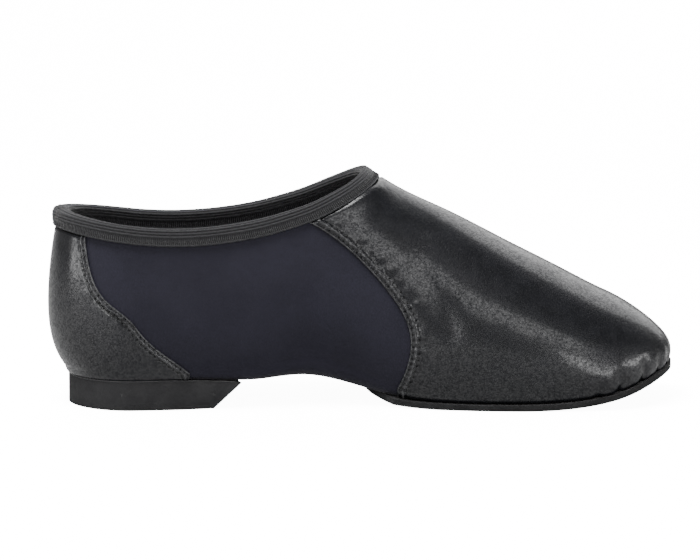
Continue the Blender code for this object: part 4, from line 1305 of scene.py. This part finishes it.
def floor_finish():
    """White to the camera and a mid grey to other rays, lighter in reflections, and open to light from below."""
    made = bpy.data.materials.new("pale_floor")
    made.use_nodes = True
    tree = made.node_tree
    tree.nodes.clear()
    kinds = ("BsdfDiffuse", "BsdfDiffuse", "Emission", "AddShader", "MixShader", "BsdfTransparent", "MixShader")
    grey, lit, glow, both, choice, clear, sided = (tree.nodes.new("ShaderNode" + kind) for kind in kinds)
    path, face, end = (tree.nodes.new("ShaderNode" + kind) for kind in ("LightPath", "NewGeometry", "OutputMaterial"))
    lit.inputs["Color"].default_value = (FLOOR_LIT, FLOOR_LIT, FLOOR_LIT, 1)
    glow.inputs["Strength"].default_value = FLOOR_SEEN
    for source, socket in (
        (ranged(tree, path.outputs["Is Glossy Ray"], 0, 1, FLOOR_GREY, FLOOR_GLOSS), grey.inputs["Color"]),
        (lit.outputs[0], both.inputs[0]),
        (glow.outputs[0], both.inputs[1]),
        (path.outputs["Is Camera Ray"], choice.inputs[0]),
        (grey.outputs[0], choice.inputs[1]),
        (both.outputs[0], choice.inputs[2]),
        (maths(tree, "MAXIMUM", face.outputs["Backfacing"], path.outputs["Is Shadow Ray"]), sided.inputs[0]),
        (choice.outputs[0], sided.inputs[1]),
        (clear.outputs[0], sided.inputs[2]),
        (sided.outputs[0], end.inputs[0]),
    ):
        tree.links.new(source, socket)
    return made


floor_mesh.materials.append(floor_finish())


def soft_light(name, place, aim, size, power, diffuse=True):
    """A rectangular studio light, unseen itself, aimed at a point of the shoe."""
    data = bpy.data.lights.new(name, "AREA")
    data.shape, data.size, data.size_y, data.energy = "RECTANGLE", size[0], size[1], power
    obj = bpy.data.objects.new(name, data)
    obj.location = place
    obj.rotation_euler = (Vector(place) - Vector(aim)).to_track_quat("Z", "Y").to_euler()
    obj.visible_camera, obj.visible_diffuse = False, diffuse
    bpy.context.scene.collection.objects.link(obj)


soft_light("front", (0.22, -1.45, 0.70), (0.02, 0, 0.05), (1.3, 0.42), 4.1)
soft_light("backdrop", (0.38, 1.42, 0.95), (0.05, 0, 0.05), (1.9, 1.5), 14)
soft_light("overhead", (-0.35, -0.25, 1.35), (0, 0, 0.05), (0.8, 0.6), 17)
soft_light("underneath", (0, 0.2, -1.2), (0, 0, 0), (1.2, 1.0), 1.2)
# Low reflectors, that only draw highlights on the gloss.
soft_light("left", (-1.06, -0.66, 0.12), (-0.10, 0, 0.04), (1.75, 0.20), 6.2, diffuse=False)
soft_light("front_low", (0.66, -1.24, 0.14), (0.08, 0, 0.03), (0.5, 0.28), 2.4, diffuse=False)
soft_light("right", (1.18, -0.42, 0.15), (0.1, 0, 0.03), (0.9, 0.28), 4, diffuse=False)

world = bpy.data.worlds.new("studio")
world.use_nodes = True
sky = world.node_tree
sky.nodes["Background"].inputs["Color"].default_value = (1, 1, 1, 1)
seen = sky.nodes.new("ShaderNodeLightPath").outputs["Is Camera Ray"]
sky.links.new(ranged(sky, seen, 0, 1, SKY_LIT, FLOOR_SEEN), sky.nodes["Background"].inputs["Strength"])
bpy.context.scene.world = world

AZIMUTH, ELEVATION, DISTANCE, FRAME_WIDTH = math.radians(-4), math.radians(9), 2.3, 0.2744
SENSOR_WIDTH = 36
camera = bpy.data.objects.new("camera", bpy.data.cameras.new("camera"))
bpy.context.scene.collection.objects.link(camera)
back = Vector((
    math.sin(AZIMUTH) * math.cos(ELEVATION), -math.cos(AZIMUTH) * math.cos(ELEVATION), math.sin(ELEVATION),
))
camera.location = Vector((-0.0041, 0, 0.0463)) + back * DISTANCE
camera.rotation_euler = back.to_track_quat("Z", "Y").to_euler()
camera.data.sensor_width = SENSOR_WIDTH
camera.data.lens = SENSOR_WIDTH * DISTANCE / FRAME_WIDTH
bpy.context.scene.camera = camera
